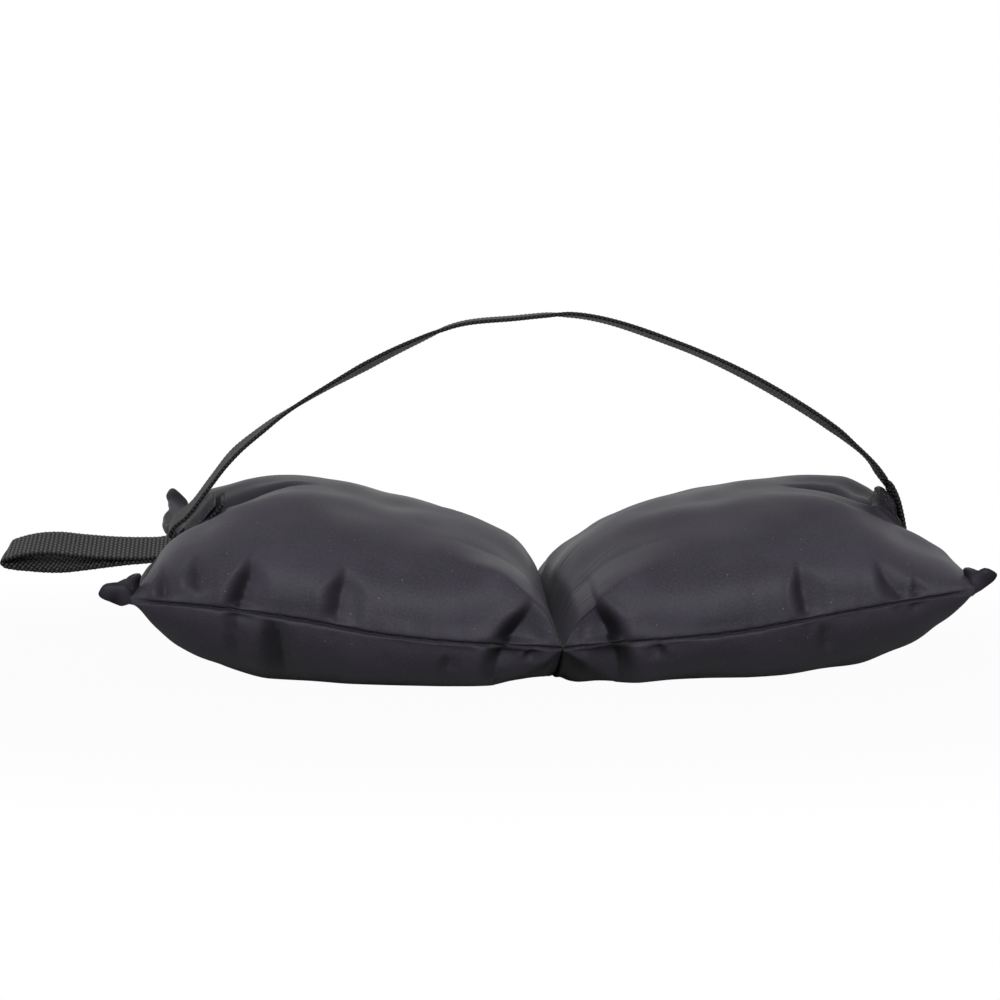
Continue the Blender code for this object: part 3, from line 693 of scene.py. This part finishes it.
def webbing(name, path, near, thickness, finish, start=0.0, width=STRAP_WIDTH, cells=28, beads=False):
    """A strip of ribbed webbing along a path of (x, z) stations, with the unit vectors towards its near
    edge. Ribs stand across it, one beside the other, and beads are its woven grains."""
    path = np.asarray(path, float)
    count = len(path)
    tangent = np.gradient(path, axis=0)
    tangent /= np.linalg.norm(tangent, axis=1, keepdims=True)
    gone = start + distance_along(path)
    axis_w = np.broadcast_to(near, (count, 3))
    axis_n = np.cross(axis_w, np.stack([tangent[:, 0], np.zeros(count), tangent[:, 1]], axis=1))
    axis_n /= np.linalg.norm(axis_n, axis=1, keepdims=True)
    half = np.broadcast_to(np.asarray(width) / 2, count)
    side = np.linspace(-1, 1, cells + 1)
    edge = (0.5, 0.0, -0.5)
    upper, lower = [(s, 1.0) for s in side], [(s, -1.0) for s in side[::-1]]
    ring = upper + [(1.0, face) for face in edge] + lower + [(-1.0, -face) for face in edge]
    points = np.zeros((count, len(ring), 3))
    cut = np.zeros_like(points)
    for j, (s, face) in enumerate(ring):
        across = s * half
        phase = gone / RIB_PITCH + RIB_SLANT * across
        rib = np.abs(np.sin(math.pi * phase)) ** RIB_SHARPNESS
        bead = np.cos(2 * math.pi * (across / BEAD_PITCH + 0.5 * np.floor(phase))) if beads else 0.0
        height = RIB_HEIGHT * (rib - RIB_MIDDLE) + BEAD_HEIGHT * bead * rib
        rim = bell(1 - abs(s), 0.05)
        thick = (thickness / 2) * (1 - RIM_THINNING * rim) + height
        bulge = RIM_BULGE * (1 - abs(face)) * rib + RIB_BULGE * rib
        outer = across + np.sign(s) * (bulge if abs(s) == 1.0 else 0)
        points[:, j] = (
            np.stack([path[:, 0], np.zeros(count), path[:, 1]], axis=1)
            + axis_w * outer[:, None]
            + axis_n * (face * thick)[:, None]
        )
        cut[:, j] = np.stack([gone, across, np.full(count, 0.01 * face)], axis=1)
    faces = ring_faces(count, len(ring)) + webbing_ends(count, len(ring), cells)
    return mesh_object(name, points, faces, cut, finish)


class Wire:
    """A shader socket. Arithmetic on it adds the Math nodes that work it out."""

    def __init__(self, nodes, socket):
        self.nodes = nodes
        self.socket = socket

    def maths(self, operation, *values):
        return self.nodes.add("ShaderNodeMath", {"operation": operation}, dict(enumerate(values)))

    def __add__(self, other):
        return self.maths("ADD", self, other)

    def __radd__(self, other):
        return self.maths("ADD", other, self)

    def __sub__(self, other):
        return self.maths("SUBTRACT", self, other)

    def __rsub__(self, other):
        return self.maths("SUBTRACT", other, self)

    def __mul__(self, other):
        return self.maths("MULTIPLY", self, other)

    def __rmul__(self, other):
        return self.maths("MULTIPLY", other, self)

    def __truediv__(self, other):
        return self.maths("DIVIDE", self, other)

    def __lt__(self, other):
        return self.maths("LESS_THAN", self, other)

    def __gt__(self, other):
        return self.maths("GREATER_THAN", self, other)

    def __abs__(self):
        return self.maths("ABSOLUTE", self)

    def sine(self):
        return self.maths("SINE", self)

    def floor(self):
        return self.maths("FLOOR", self)

    def larger(self, other):
        return self.maths("MAXIMUM", self, other)

    def step(self, start, end):
        """0 below start, 1 above end and smooth between them."""
        settings = {"interpolation_type": "SMOOTHSTEP"}
        return self.nodes.add("ShaderNodeMapRange", settings, {0: self, 1: start, 2: end})


class Nodes:
    """The nodes of a material or of the world."""

    def __init__(self, tree):
        self.tree = tree

    def plug(self, value, socket):
        if isinstance(value, Wire):
            self.tree.links.new(value.socket, socket)
        else:
            socket.default_value = value

    def add(self, kind, settings=None, sockets=None, output=0):
        """Adds a node: its settings first, then its sockets' values or links."""
        node = self.tree.nodes.new(kind)
        for key, value in (settings or {}).items():
            setattr(node, key, value)
        for key, value in (sockets or {}).items():
            self.plug(value, node.inputs[key])
        return Wire(self, node.outputs[output])

    def seen_by(self, ray):
        """1 for that kind of ray and 0 for the others."""
        return self.add("ShaderNodeLightPath", output=f"Is {ray} Ray")


class Finish(Nodes):
    """One procedural material and the nodes that make it."""

    def __init__(self, name, **constants):
        self.material = bpy.data.materials.new(name)
        self.material.use_nodes = True
        super().__init__(self.material.node_tree)
        self.shader = self.tree.nodes["Principled BSDF"]
        self.output = self.tree.nodes["Material Output"]
        for key, value in constants.items():
            socket = key.replace("_", " ").title().replace("Ior", "IOR")
            self.shader.inputs[socket].default_value = value

    def kept(self, name, output):
        """What the mesh keeps at each point under that name."""
        settings = {"attribute_name": name, "attribute_type": "GEOMETRY"}
        return self.add("ShaderNodeAttribute", settings, output=output)

    def place(self):
        """The place on the flat cloth, in metres: along, across and the vector of both."""
        at = self.kept("cut", "Vector")
        along, across = (self.add("ShaderNodeSeparateXYZ", sockets={0: at}, output=k) for k in (0, 1))
        return along, across, at

    def where(self):
        """The place in the piece's own space, in metres."""
        return self.add("ShaderNodeTexCoord", output="Object")

    def spots(self, at, scale, dimensions):
        """Scattered spots: the distance to the nearest one's middle, and a chance number for each."""
        settings = {"feature": "F1", "voronoi_dimensions": dimensions}
        sockets = {"Vector": at, "Scale": scale}
        names = ("Distance", "Color")
        near, hue = (self.add("ShaderNodeTexVoronoi", settings, sockets, name) for name in names)
        return near, self.add("ShaderNodeSeparateColor", sockets={0: hue}, output=0)

    def cloud(self, at, scale, detail=3.0, rough=0.55):
        settings = {"noise_dimensions": "3D"}
        sockets = {"Vector": at, "Scale": scale, "Detail": detail, "Roughness": rough}
        return self.add("ShaderNodeTexNoise", settings, sockets, "Fac")

    def mix(self, mask, first, second):
        """The first colour where the mask is 0 and the second where it is 1."""
        first, second = ((*c, 1) if isinstance(c, tuple) else c for c in (first, second))
        return self.add("ShaderNodeMix", {"data_type": "RGBA"}, {0: mask, 6: first, 7: second}, 2)

    def raise_by(self, height, distance, strength):
        sockets = {"Strength": strength, "Distance": distance, "Height": height}
        self.plug(self.add("ShaderNodeBump", None, sockets), self.shader.inputs["Normal"])

    def paint(self, colour, roughness=None):
        self.plug(colour, self.shader.inputs["Base Color"])
        if roughness is not None:
            self.plug(roughness, self.shader.inputs["Roughness"])


def bag_cloth():
    """Tight plain-weave nylon with a soft coating: a faint weave, a slight bloom, specks of lint and painted
    shade that darkens its colour in folds, seams and hems.
    """
    made = Finish("coated_nylon", specular_ior_level=0.11, sheen_weight=0.03, sheen_roughness=0.4)
    along, across, at = made.place()
    thread = 2 * math.pi / WEAVE_PITCH
    weave = (along * thread).sine() * (across * thread).sine()
    bloom = made.cloud(at, 26.0, 4.0)
    fine = made.cloud(at, 900.0, 2.0)
    speck, chance = made.spots(at, 110.0, "2D")
    lint = (speck < 0.024) * (chance > 0.80)
    painted_shade = made.kept("painted_shade", "Fac")
    cloth = made.mix(bloom.step(0.35, 0.7), (0.037, 0.0335, 0.044), (0.051, 0.0465, 0.061))
    cloth = made.mix(fine.step(0.42, 0.62) * 0.35, cloth, (0.062, 0.057, 0.073))
    # Painted shade: the colour darkened nearly to black by the mesh's shade mask, in folds, seams and hems
    cloth = made.mix(painted_shade * 0.93, cloth, (0.005, 0.0045, 0.006))
    made.paint(made.mix(lint * 0.45, cloth, (0.30, 0.30, 0.31)), bloom.step(0.3, 0.75) * 0.10 + 0.46)
    made.raise_by(weave * 0.5 + fine, 0.00006, 0.35)
    return made.material


def ribbed_webbing(name, light):
    """Black polyester webbing: ribs across it, each a row of woven grains. The grain tops are painted in the
    light colour as their highlight and the grooves between painted near black as their shade. The selvedge
    shows its ribs alone."""
    made = Finish(name, specular_ior_level=0.15)
    along, across, at = made.place()
    rib = abs((along * (math.pi / RIB_PITCH) + across * (math.pi * RIB_SLANT)).sine())
    row = (along / RIB_PITCH + across * RIB_SLANT).floor()
    grain = ((across * (2 * math.pi / BEAD_PITCH)) + row * math.pi).sine() * 0.5 + 0.5
    selvedge = abs(across).step(0.0118, 0.0122)
    grain = grain * (1 - selvedge) + selvedge * 0.3
    worn = made.cloud(at, 160.0, 3.0)
    bead = rib * (grain * 0.6 + 0.4)
    # Painted highlight and shade: grain tops in the light colour, grooves between them near black
    rib_highlight_and_shade = made.mix(bead.step(0.4, 0.85), (0.003, 0.003, 0.004), (light, light, light * 1.03))
    made.paint(made.mix(worn.step(0.4, 0.75) * 0.2, rib_highlight_and_shade, (0.020, 0.020, 0.021)), 0.66 - bead * 0.1)
    made.raise_by(bead, 0.00025, 0.8)
    return made.material


def sewing_thread():
    made = Finish("bonded_thread", specular_ior_level=0.5)
    where = made.where()
    twist = made.add("ShaderNodeTexWave", None, {"Vector": where, "Scale": 900.0, "Distortion": 2.0}, "Fac")
    made.paint(made.mix(twist, (0.010, 0.010, 0.011), (0.035, 0.034, 0.037)), 0.5)
    made.raise_by(twist, 0.0001, 0.5)
    return made.material


def liner_film():
    made = Finish("liner_film", specular_ior_level=0.5)
    where = made.where()
    crease = made.cloud(where, 60.0, 6.0, 0.6)
    made.paint(made.mix(crease, (0.30, 0.29, 0.28), (0.42, 0.41, 0.40)), crease * 0.2 + 0.25)
    made.raise_by(crease, 0.001, 0.6)
    return made.material


def dry_sand():
    made = Finish("washed_sand", specular_ior_level=0.3)
    where = made.where()
    grain, tone = made.spots(where, 1400.0, "3D")
    made.paint(made.mix(tone, (0.34, 0.26, 0.17), (0.56, 0.46, 0.33)), 0.9)
    made.raise_by(1 - grain, 0.0005, 0.8)
    return made.material


def tie_nylon():
    made = Finish("tie_nylon", specular_ior_level=0.5)
    where = made.where()
    milk = made.cloud(where, 400.0, 2.0)
    made.paint(made.mix(milk, (0.70, 0.70, 0.66), (0.80, 0.80, 0.77)), milk * 0.15 + 0.35)
    return made.material


def stitches(name, anchors, finish):
    """Thread laid over the cloth: each stitch is a small arch between two points, with its lift given."""
    sides, steps = 6, 6
    points, faces = [], []
    for start, end, up in anchors:
        start, end, up = (np.array(p, float) for p in (start, end, up))
        run = end - start
        length = np.linalg.norm(run)
        across = np.cross(run / length, up)
        base = len(points)
        for k in range(steps + 1):
            share = k / steps
            bow = math.sin(math.pi * share)
            lift = THREAD_RADIUS * (1 + STITCH_BOW) * (bow**0.5) - THREAD_RADIUS * 0.8
            at = start + run * share + up * lift
            thin = THREAD_RADIUS * (0.35 + 0.65 * bow**0.4)
            for s in range(sides):
                turn = 2 * math.pi * s / sides
                points.append(at + across * thin * math.cos(turn) + up * thin * math.sin(turn))
        faces += [tuple(base + i for i in f) for f in ring_faces(steps + 1, sides)]
        faces.append(tuple(base + s for s in reversed(range(sides))))
        faces.append(tuple(base + steps * sides + s for s in range(sides)))
    return mesh_object(name, points, faces, points, finish)


def out_of_hem(pouch, w, v, lift, face=1):
    """Unit vector out of the hem's upper (1) or lower (-1) face at a point."""
    step = 0.001
    return (pouch.hem_point(w, v, lift + face * step) - pouch.hem_point(w, v, lift)) / step


def hem_stitches(name, pouch, finish):
    """The row of lock stitches through the hem, seen on both of its faces."""
    anchors = []
    for face in (1, -1):
        for k in range(HEM_STITCHES):
            ends = []
            for share in (k + 0.12, k + 0.88):
                v = np.array(math.acos(-0.95 * (2 * share / HEM_STITCHES - 1)) / math.pi)
                lift = face * float(pouch.half_gap(1.0, v)) * 1.04
                ends.append(pouch.hem_point(HEM_STITCH_AT, v, lift))
            anchors.append((*ends, out_of_hem(pouch, HEM_STITCH_AT, v, lift, face)))
    return stitches(name, anchors, finish)


CLOTH_FINISH = bag_cloth()
WEBBING_FINISH = ribbed_webbing("black_webbing", 0.085)
LOOP_FINISH = ribbed_webbing("black_webbing_loop", 0.105)
THREAD_FINISH = sewing_thread()
FILM_FINISH = liner_film()
SAND_FINISH = dry_sand()
TIE_FINISH = tie_nylon()

BODY = {"left": "left_pouch", "right": "right_pouch"}


def bend_at_centre(piece):
    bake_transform(piece)


for pouch in (LEFT, RIGHT):
    side = pouch.side
    grid, painted_shade = cloth_grid(pouch)
    shell = pouch_shell(f"pouch_{side}", pouch, grid, painted_shade, CLOTH_FINISH)
    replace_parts(shell, f"top_panel_{side}", f"bottom_panel_{side}")
    bend_at_centre(shell)
    film = filling(f"inner_liner_{side}", pouch, grid, *LINER_FIT, FILM_FINISH)
    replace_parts(film, f"liner_{side}")
    bend_at_centre(film)
    grains = filling(f"sand_fill_{side}", pouch, grid, *SAND_FIT, SAND_FINISH)
    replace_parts(grains, f"sand_{side}")
    bend_at_centre(grains)
    edge = hem(f"end_hem_{side}", pouch, CLOTH_FINISH)
    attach(edge, BODY[side])
    row = hem_stitches(f"end_stitches_{side}", pouch, THREAD_FINISH)
    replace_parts(row, f"end_seam_thread_{side}")
    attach(row, BODY[side])

# The carry strap's centre line between its two roots: shares of its span and of its height
STRAP_ROOT = (-0.13391, 0.05995)
STRAP_CATCH = (0.17969, 0.08131)
STRAP_RISE = 0.156
STRAP_ROUTE = (
    (0.025, 0.448), (0.055, 0.524), (0.085, 0.600), (0.137, 0.688), (0.255, 0.834), (0.34, 0.921),
    (0.40, 0.970), (0.48, 0.989), (0.551, 0.999), (0.704, 0.917), (0.853, 0.772), (0.9425, 0.651),
    (0.9825, 0.577),
)
# How far the strap's near edge is rolled down, in degrees, at millimetres along the bag
STRAP_ROLL = (
    (-134, 7.5), (-124, 6.0), (-108, 6.3), (-100, 4.3), (-90.5, 2.3), (-82, -1.3), (-76, -3.0),
    (-64, -5.3), (-55.5, -7.4), (-47, -8.9), (-38, -8.4), (-29, -7.4), (-20, -5.3), (-12, -2.0),
    (6, -1.6), (30, -2.0), (41, -6.3), (59, -7.0), (77, -7.6), (94, -7.4), (120, -8.1), (155, -6.3),
    (164, -2.4), (173, -0.1), (180, -2.1),
)


def strap_route():
    span = STRAP_CATCH[0] - STRAP_ROOT[0]
    arch = [(STRAP_ROOT[0] + span * along, STRAP_RISE * rise) for along, rise in STRAP_ROUTE]
    knots = [(-0.1262, 0.0583), (-0.1305, 0.0590), (-0.1333, 0.0597), (-0.1340, 0.0612), (-0.1328, 0.0640)]
    return even_path([*knots, *arch, STRAP_CATCH])


ROUTE, GONE = strap_route()


def strap_length(name, start, stop):
    """One length of the carry strap between two distances along it."""
    first, last = int(np.searchsorted(GONE, start)), int(np.searchsorted(GONE, stop))
    part = slice(first, last + 1)
    near = rolled(ROUTE[part], np.radians(smooth_curve(STRAP_ROLL, 1000 * ROUTE[part][:, 0])))
    taper = np.minimum(STRAP_WIDTH, 0.003 + (GONE[-1] - GONE[part]) / 0.24)
    made = webbing(name, ROUTE[part], near, WEBBING_THICKNESS, WEBBING_FINISH, GONE[first], taper)
    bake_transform(made)
    return made


JOINTS = {joint["name"]: np.array(joint["pos_m"])[[0, 2]] for joint in frame["joints"]}


def reach_of(joint):
    """The distance along the strap that lies nearest to a joint's axis."""
    return float(GONE[np.argmin(np.linalg.norm(ROUTE - JOINTS[joint], axis=1))])


SHOULDER_L, APEX, SHOULDER_R = map(reach_of, ("left_shoulder_bend", "apex_bend", "right_shoulder_bend"))
END = float(GONE[-1])
ROOT = 0.0110
ROOT_BEND = 0.022
SHOULDER_BEND = 0.022
APEX_BEND = 0.03
MID_1 = (ROOT + 0.024 + SHOULDER_L) / 2
MID_2 = (SHOULDER_L + APEX) / 2
MID_3 = (APEX + SHOULDER_R) / 2

# The strap's lengths from left to right: where each ends, the body whose CAD node it replaces, and where
# its bend starts and ends, as distances along the strap
STRAP_LENGTHS = (
    ("strap_turn", ROOT, "strap_foot", (0.0045, 0.0085)),
    ("strap_root", MID_1, "strap_rise_left", (ROOT, ROOT + ROOT_BEND)),
    ("strap_left", MID_2, "strap_top_left", (SHOULDER_L - SHOULDER_BEND, SHOULDER_L + SHOULDER_BEND)),
    ("strap_crown", MID_3, "strap_top_right", (APEX - APEX_BEND, APEX + APEX_BEND)),
    ("strap_right", END, "strap_rise_right", (SHOULDER_R - SHOULDER_BEND, SHOULDER_R + SHOULDER_BEND)),
)
start, held_by = 0, "left_pouch"
for name, stop, body, bend in STRAP_LENGTHS:
    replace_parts(strap_length(name, start, stop), body)
    start, held_by = stop, body

# The folded-back tails of the strap and a facing of bag cloth beside the left one: (x, z) points
LEFT_TAIL = ((-0.1262, 0.0583), (-0.1242, 0.0604), (-0.1200, 0.0648), (-0.1150, 0.0708), (-0.1107, 0.0756))
LEFT_FACING = ((-0.1290, 0.0590), (-0.1268, 0.0617), (-0.1221, 0.0665), (-0.1168, 0.0727), (-0.1141, 0.0757))
RIGHT_TAIL = ((0.1779, 0.0846), (0.1792, 0.0838), (0.1809, 0.0812), (0.1826, 0.0774), (0.1843, 0.0715),
              (0.1857, 0.0650), (0.1863, 0.0618))


def tail(name, knots, roll, finish, thickness=WEBBING_THICKNESS, width=STRAP_WIDTH):
    path, _ = even_path(knots)
    made = webbing(name, path, rolled(path, math.radians(roll)), thickness, finish, 0.0, width)
    return made


left_tail = tail("strap_tail_left", LEFT_TAIL, 8.5, WEBBING_FINISH)
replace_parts(left_tail, "strap_end_left")
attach(left_tail, "left_pouch")
left_facing = tail("strap_facing_left", LEFT_FACING, 9, CLOTH_FINISH, 0.0011, 0.0246)
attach(left_facing, "left_pouch")
right_tail = tail("strap_tail_right", RIGHT_TAIL, 0, WEBBING_FINISH)
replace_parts(right_tail, "strap_end_right")
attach(right_tail, "right_pouch")

# The hang loop, doubled back on itself: (x, z) points of the webbing's middle
LOOP_PATH = (
    (-0.1262, 0.0568), (-0.1310, 0.0562), (-0.1350, 0.0548), (-0.1395, 0.0536), (-0.1485, 0.0532),
    (-0.1610, 0.0535), (-0.1740, 0.0545), (-0.1860, 0.0556), (-0.1930, 0.0553), (-0.1988, 0.0543),
    (-0.2030, 0.0531), (-0.2059, 0.0518), (-0.2050, 0.0503), (-0.2010, 0.0491), (-0.1945, 0.0484),
    (-0.1870, 0.0478), (-0.1800, 0.0477), (-0.1700, 0.0487), (-0.1600, 0.0500), (-0.1500, 0.0512),
    (-0.1430, 0.0518), (-0.1370, 0.0526), (-0.1315, 0.0545), (-0.1262, 0.0550),
)
loop_path, _ = even_path(LOOP_PATH)
LOOP_NEAR = (0, -math.cos(math.radians(11)), -math.sin(math.radians(11)))
loop = webbing("webbing_loop", loop_path, LOOP_NEAR, LOOP_WEBBING, LOOP_FINISH, cells=90, beads=True)
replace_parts(loop, "hang_loop", "loop_end")
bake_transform(loop)


def strap_tack(name, pouch, finish):
    """The dense zigzag of thread across the hem that holds the strap's end."""
    anchors = []
    for k in range(TACK_STITCHES):
        ends = []
        for turn in (k, k + 1):
            y = TACK_WIDTH * (turn / TACK_STITCHES - 0.5)
            v = np.array(math.acos(-y / HALF_DEPTH) / math.pi)
            lift = float(pouch.half_gap(1.0, v)) * 1.03
            ends.append(pouch.hem_point(TACK_AT + TACK_HALF_HEIGHT * (1 if turn % 2 else -1), v, lift))
        anchors.append((*ends, out_of_hem(pouch, TACK_AT, v, lift)))
    return stitches(name, anchors, finish)


for pouch in (LEFT, RIGHT):
    tack = strap_tack(f"strap_bartack_{pouch.side}", pouch, THREAD_FINISH)
    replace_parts(tack, f"strap_tack_{pouch.side}")
    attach(tack, BODY[pouch.side])

# Pieces that keep their CAD shape
SEAM_THREADS = (
    "front_seam_thread_left", "front_seam_thread_right", "back_seam_thread_left", "back_seam_thread_right",
    "centre_seam_thread",
)
LINER_TIES = ("liner_tie_left", "liner_tie_right")
for nodes, finish in ((SEAM_THREADS, THREAD_FINISH), (LINER_TIES, TIE_FINISH)):
    for node in nodes:
        for holder in frame["nodes"][node].material_slots:
            holder.material = finish


def floor_finish():
    """A white floor that keeps the object's soft shadow."""
    made = Finish("pale_floor", roughness=0.9, specular_ior_level=0.1)
    where = made.where()
    grain = made.cloud(where, 8.0, 2.0)
    made.paint(made.mix(grain, (0.40, 0.40, 0.40), (0.44, 0.44, 0.44)))
    from_camera, from_gloss, from_glass = map(made.seen_by, ("Camera", "Glossy", "Transmission"))
    oval = made.add("ShaderNodeVectorMath", {"operation": "MULTIPLY"}, {0: where, 1: (0.5, 1.0, 1.0)})
    away = made.add("ShaderNodeVectorMath", {"operation": "LENGTH"}, {0: oval}, "Value")
    far = away.step(0.12, 0.26)
    reflected = from_gloss.larger(from_glass) * far
    seen = (from_camera * (far * 0.035 + 0.965)).larger(reflected)
    white = made.add("ShaderNodeEmission", None, {"Color": (1, 1, 1, 1), "Strength": 1.0})
    sheet = Wire(made, made.shader.outputs[0])
    both = made.add("ShaderNodeMixShader", None, {0: seen, 1: sheet, 2: white})
    made.plug(both, made.output.inputs["Surface"])
    return made.material


def stage_floor():
    corners = [(x * FLOOR_HALF, y * FLOOR_HALF, 0) for x, y in ((-1, -1), (1, -1), (1, 1), (-1, 1))]
    floor = mesh_object("floor", corners, [(0, 1, 2, 3)], corners, floor_finish(), smooth=False)


def lamp(name, place, aim, width, height, power):
    light = bpy.data.lights.new(name, "AREA")
    light.shape = "RECTANGLE"
    light.size, light.size_y = width, height
    light.energy = power
    made = bpy.data.objects.new(name, light)
    made.location = place
    made.rotation_euler = (Vector(aim) - Vector(place)).to_track_quat("-Z", "Y").to_euler()
    bpy.context.scene.collection.objects.link(made)


def world_light():
    """White where it is seen or mirrored, and a dimmer light on everything else."""
    world = bpy.data.worlds.new("studio")
    bpy.context.scene.world = world
    world.use_nodes = True
    sky = Nodes(world.node_tree)
    background = sky.tree.nodes["Background"]
    background.inputs["Color"].default_value = (1, 1, 1, 1)
    seen = sky.seen_by("Camera").larger(sky.seen_by("Glossy")).larger(sky.seen_by("Transmission"))
    limits = {"Value": seen, "To Min": SKY_LIGHT, "To Max": 1.0}
    sky.plug(sky.add("ShaderNodeMapRange", None, limits), background.inputs["Strength"])


def set_camera():
    lens = bpy.data.cameras.new("camera")
    lens.lens = CAMERA_LENS
    lens.sensor_width = CAMERA_SENSOR
    made = bpy.data.objects.new("camera", lens)
    made.location = CAMERA_PLACE
    made.rotation_euler = (math.radians(90 - CAMERA_DOWN), 0, 0)
    bpy.context.scene.collection.objects.link(made)
    bpy.context.scene.camera = made


stage_floor()
world_light()
lamp("overhead_softbox", (0.0, 0.15, 1.05), (0.0, 0.0, 0.0), 1.2, 0.9, 0.35)
lamp("front_softbox", (0.0, -1.0, 0.64), (0.0, 0.0, 0.05), 0.7, 0.5, 10.0)
set_camera()
bpy.context.scene.view_settings.view_transform = "Standard"
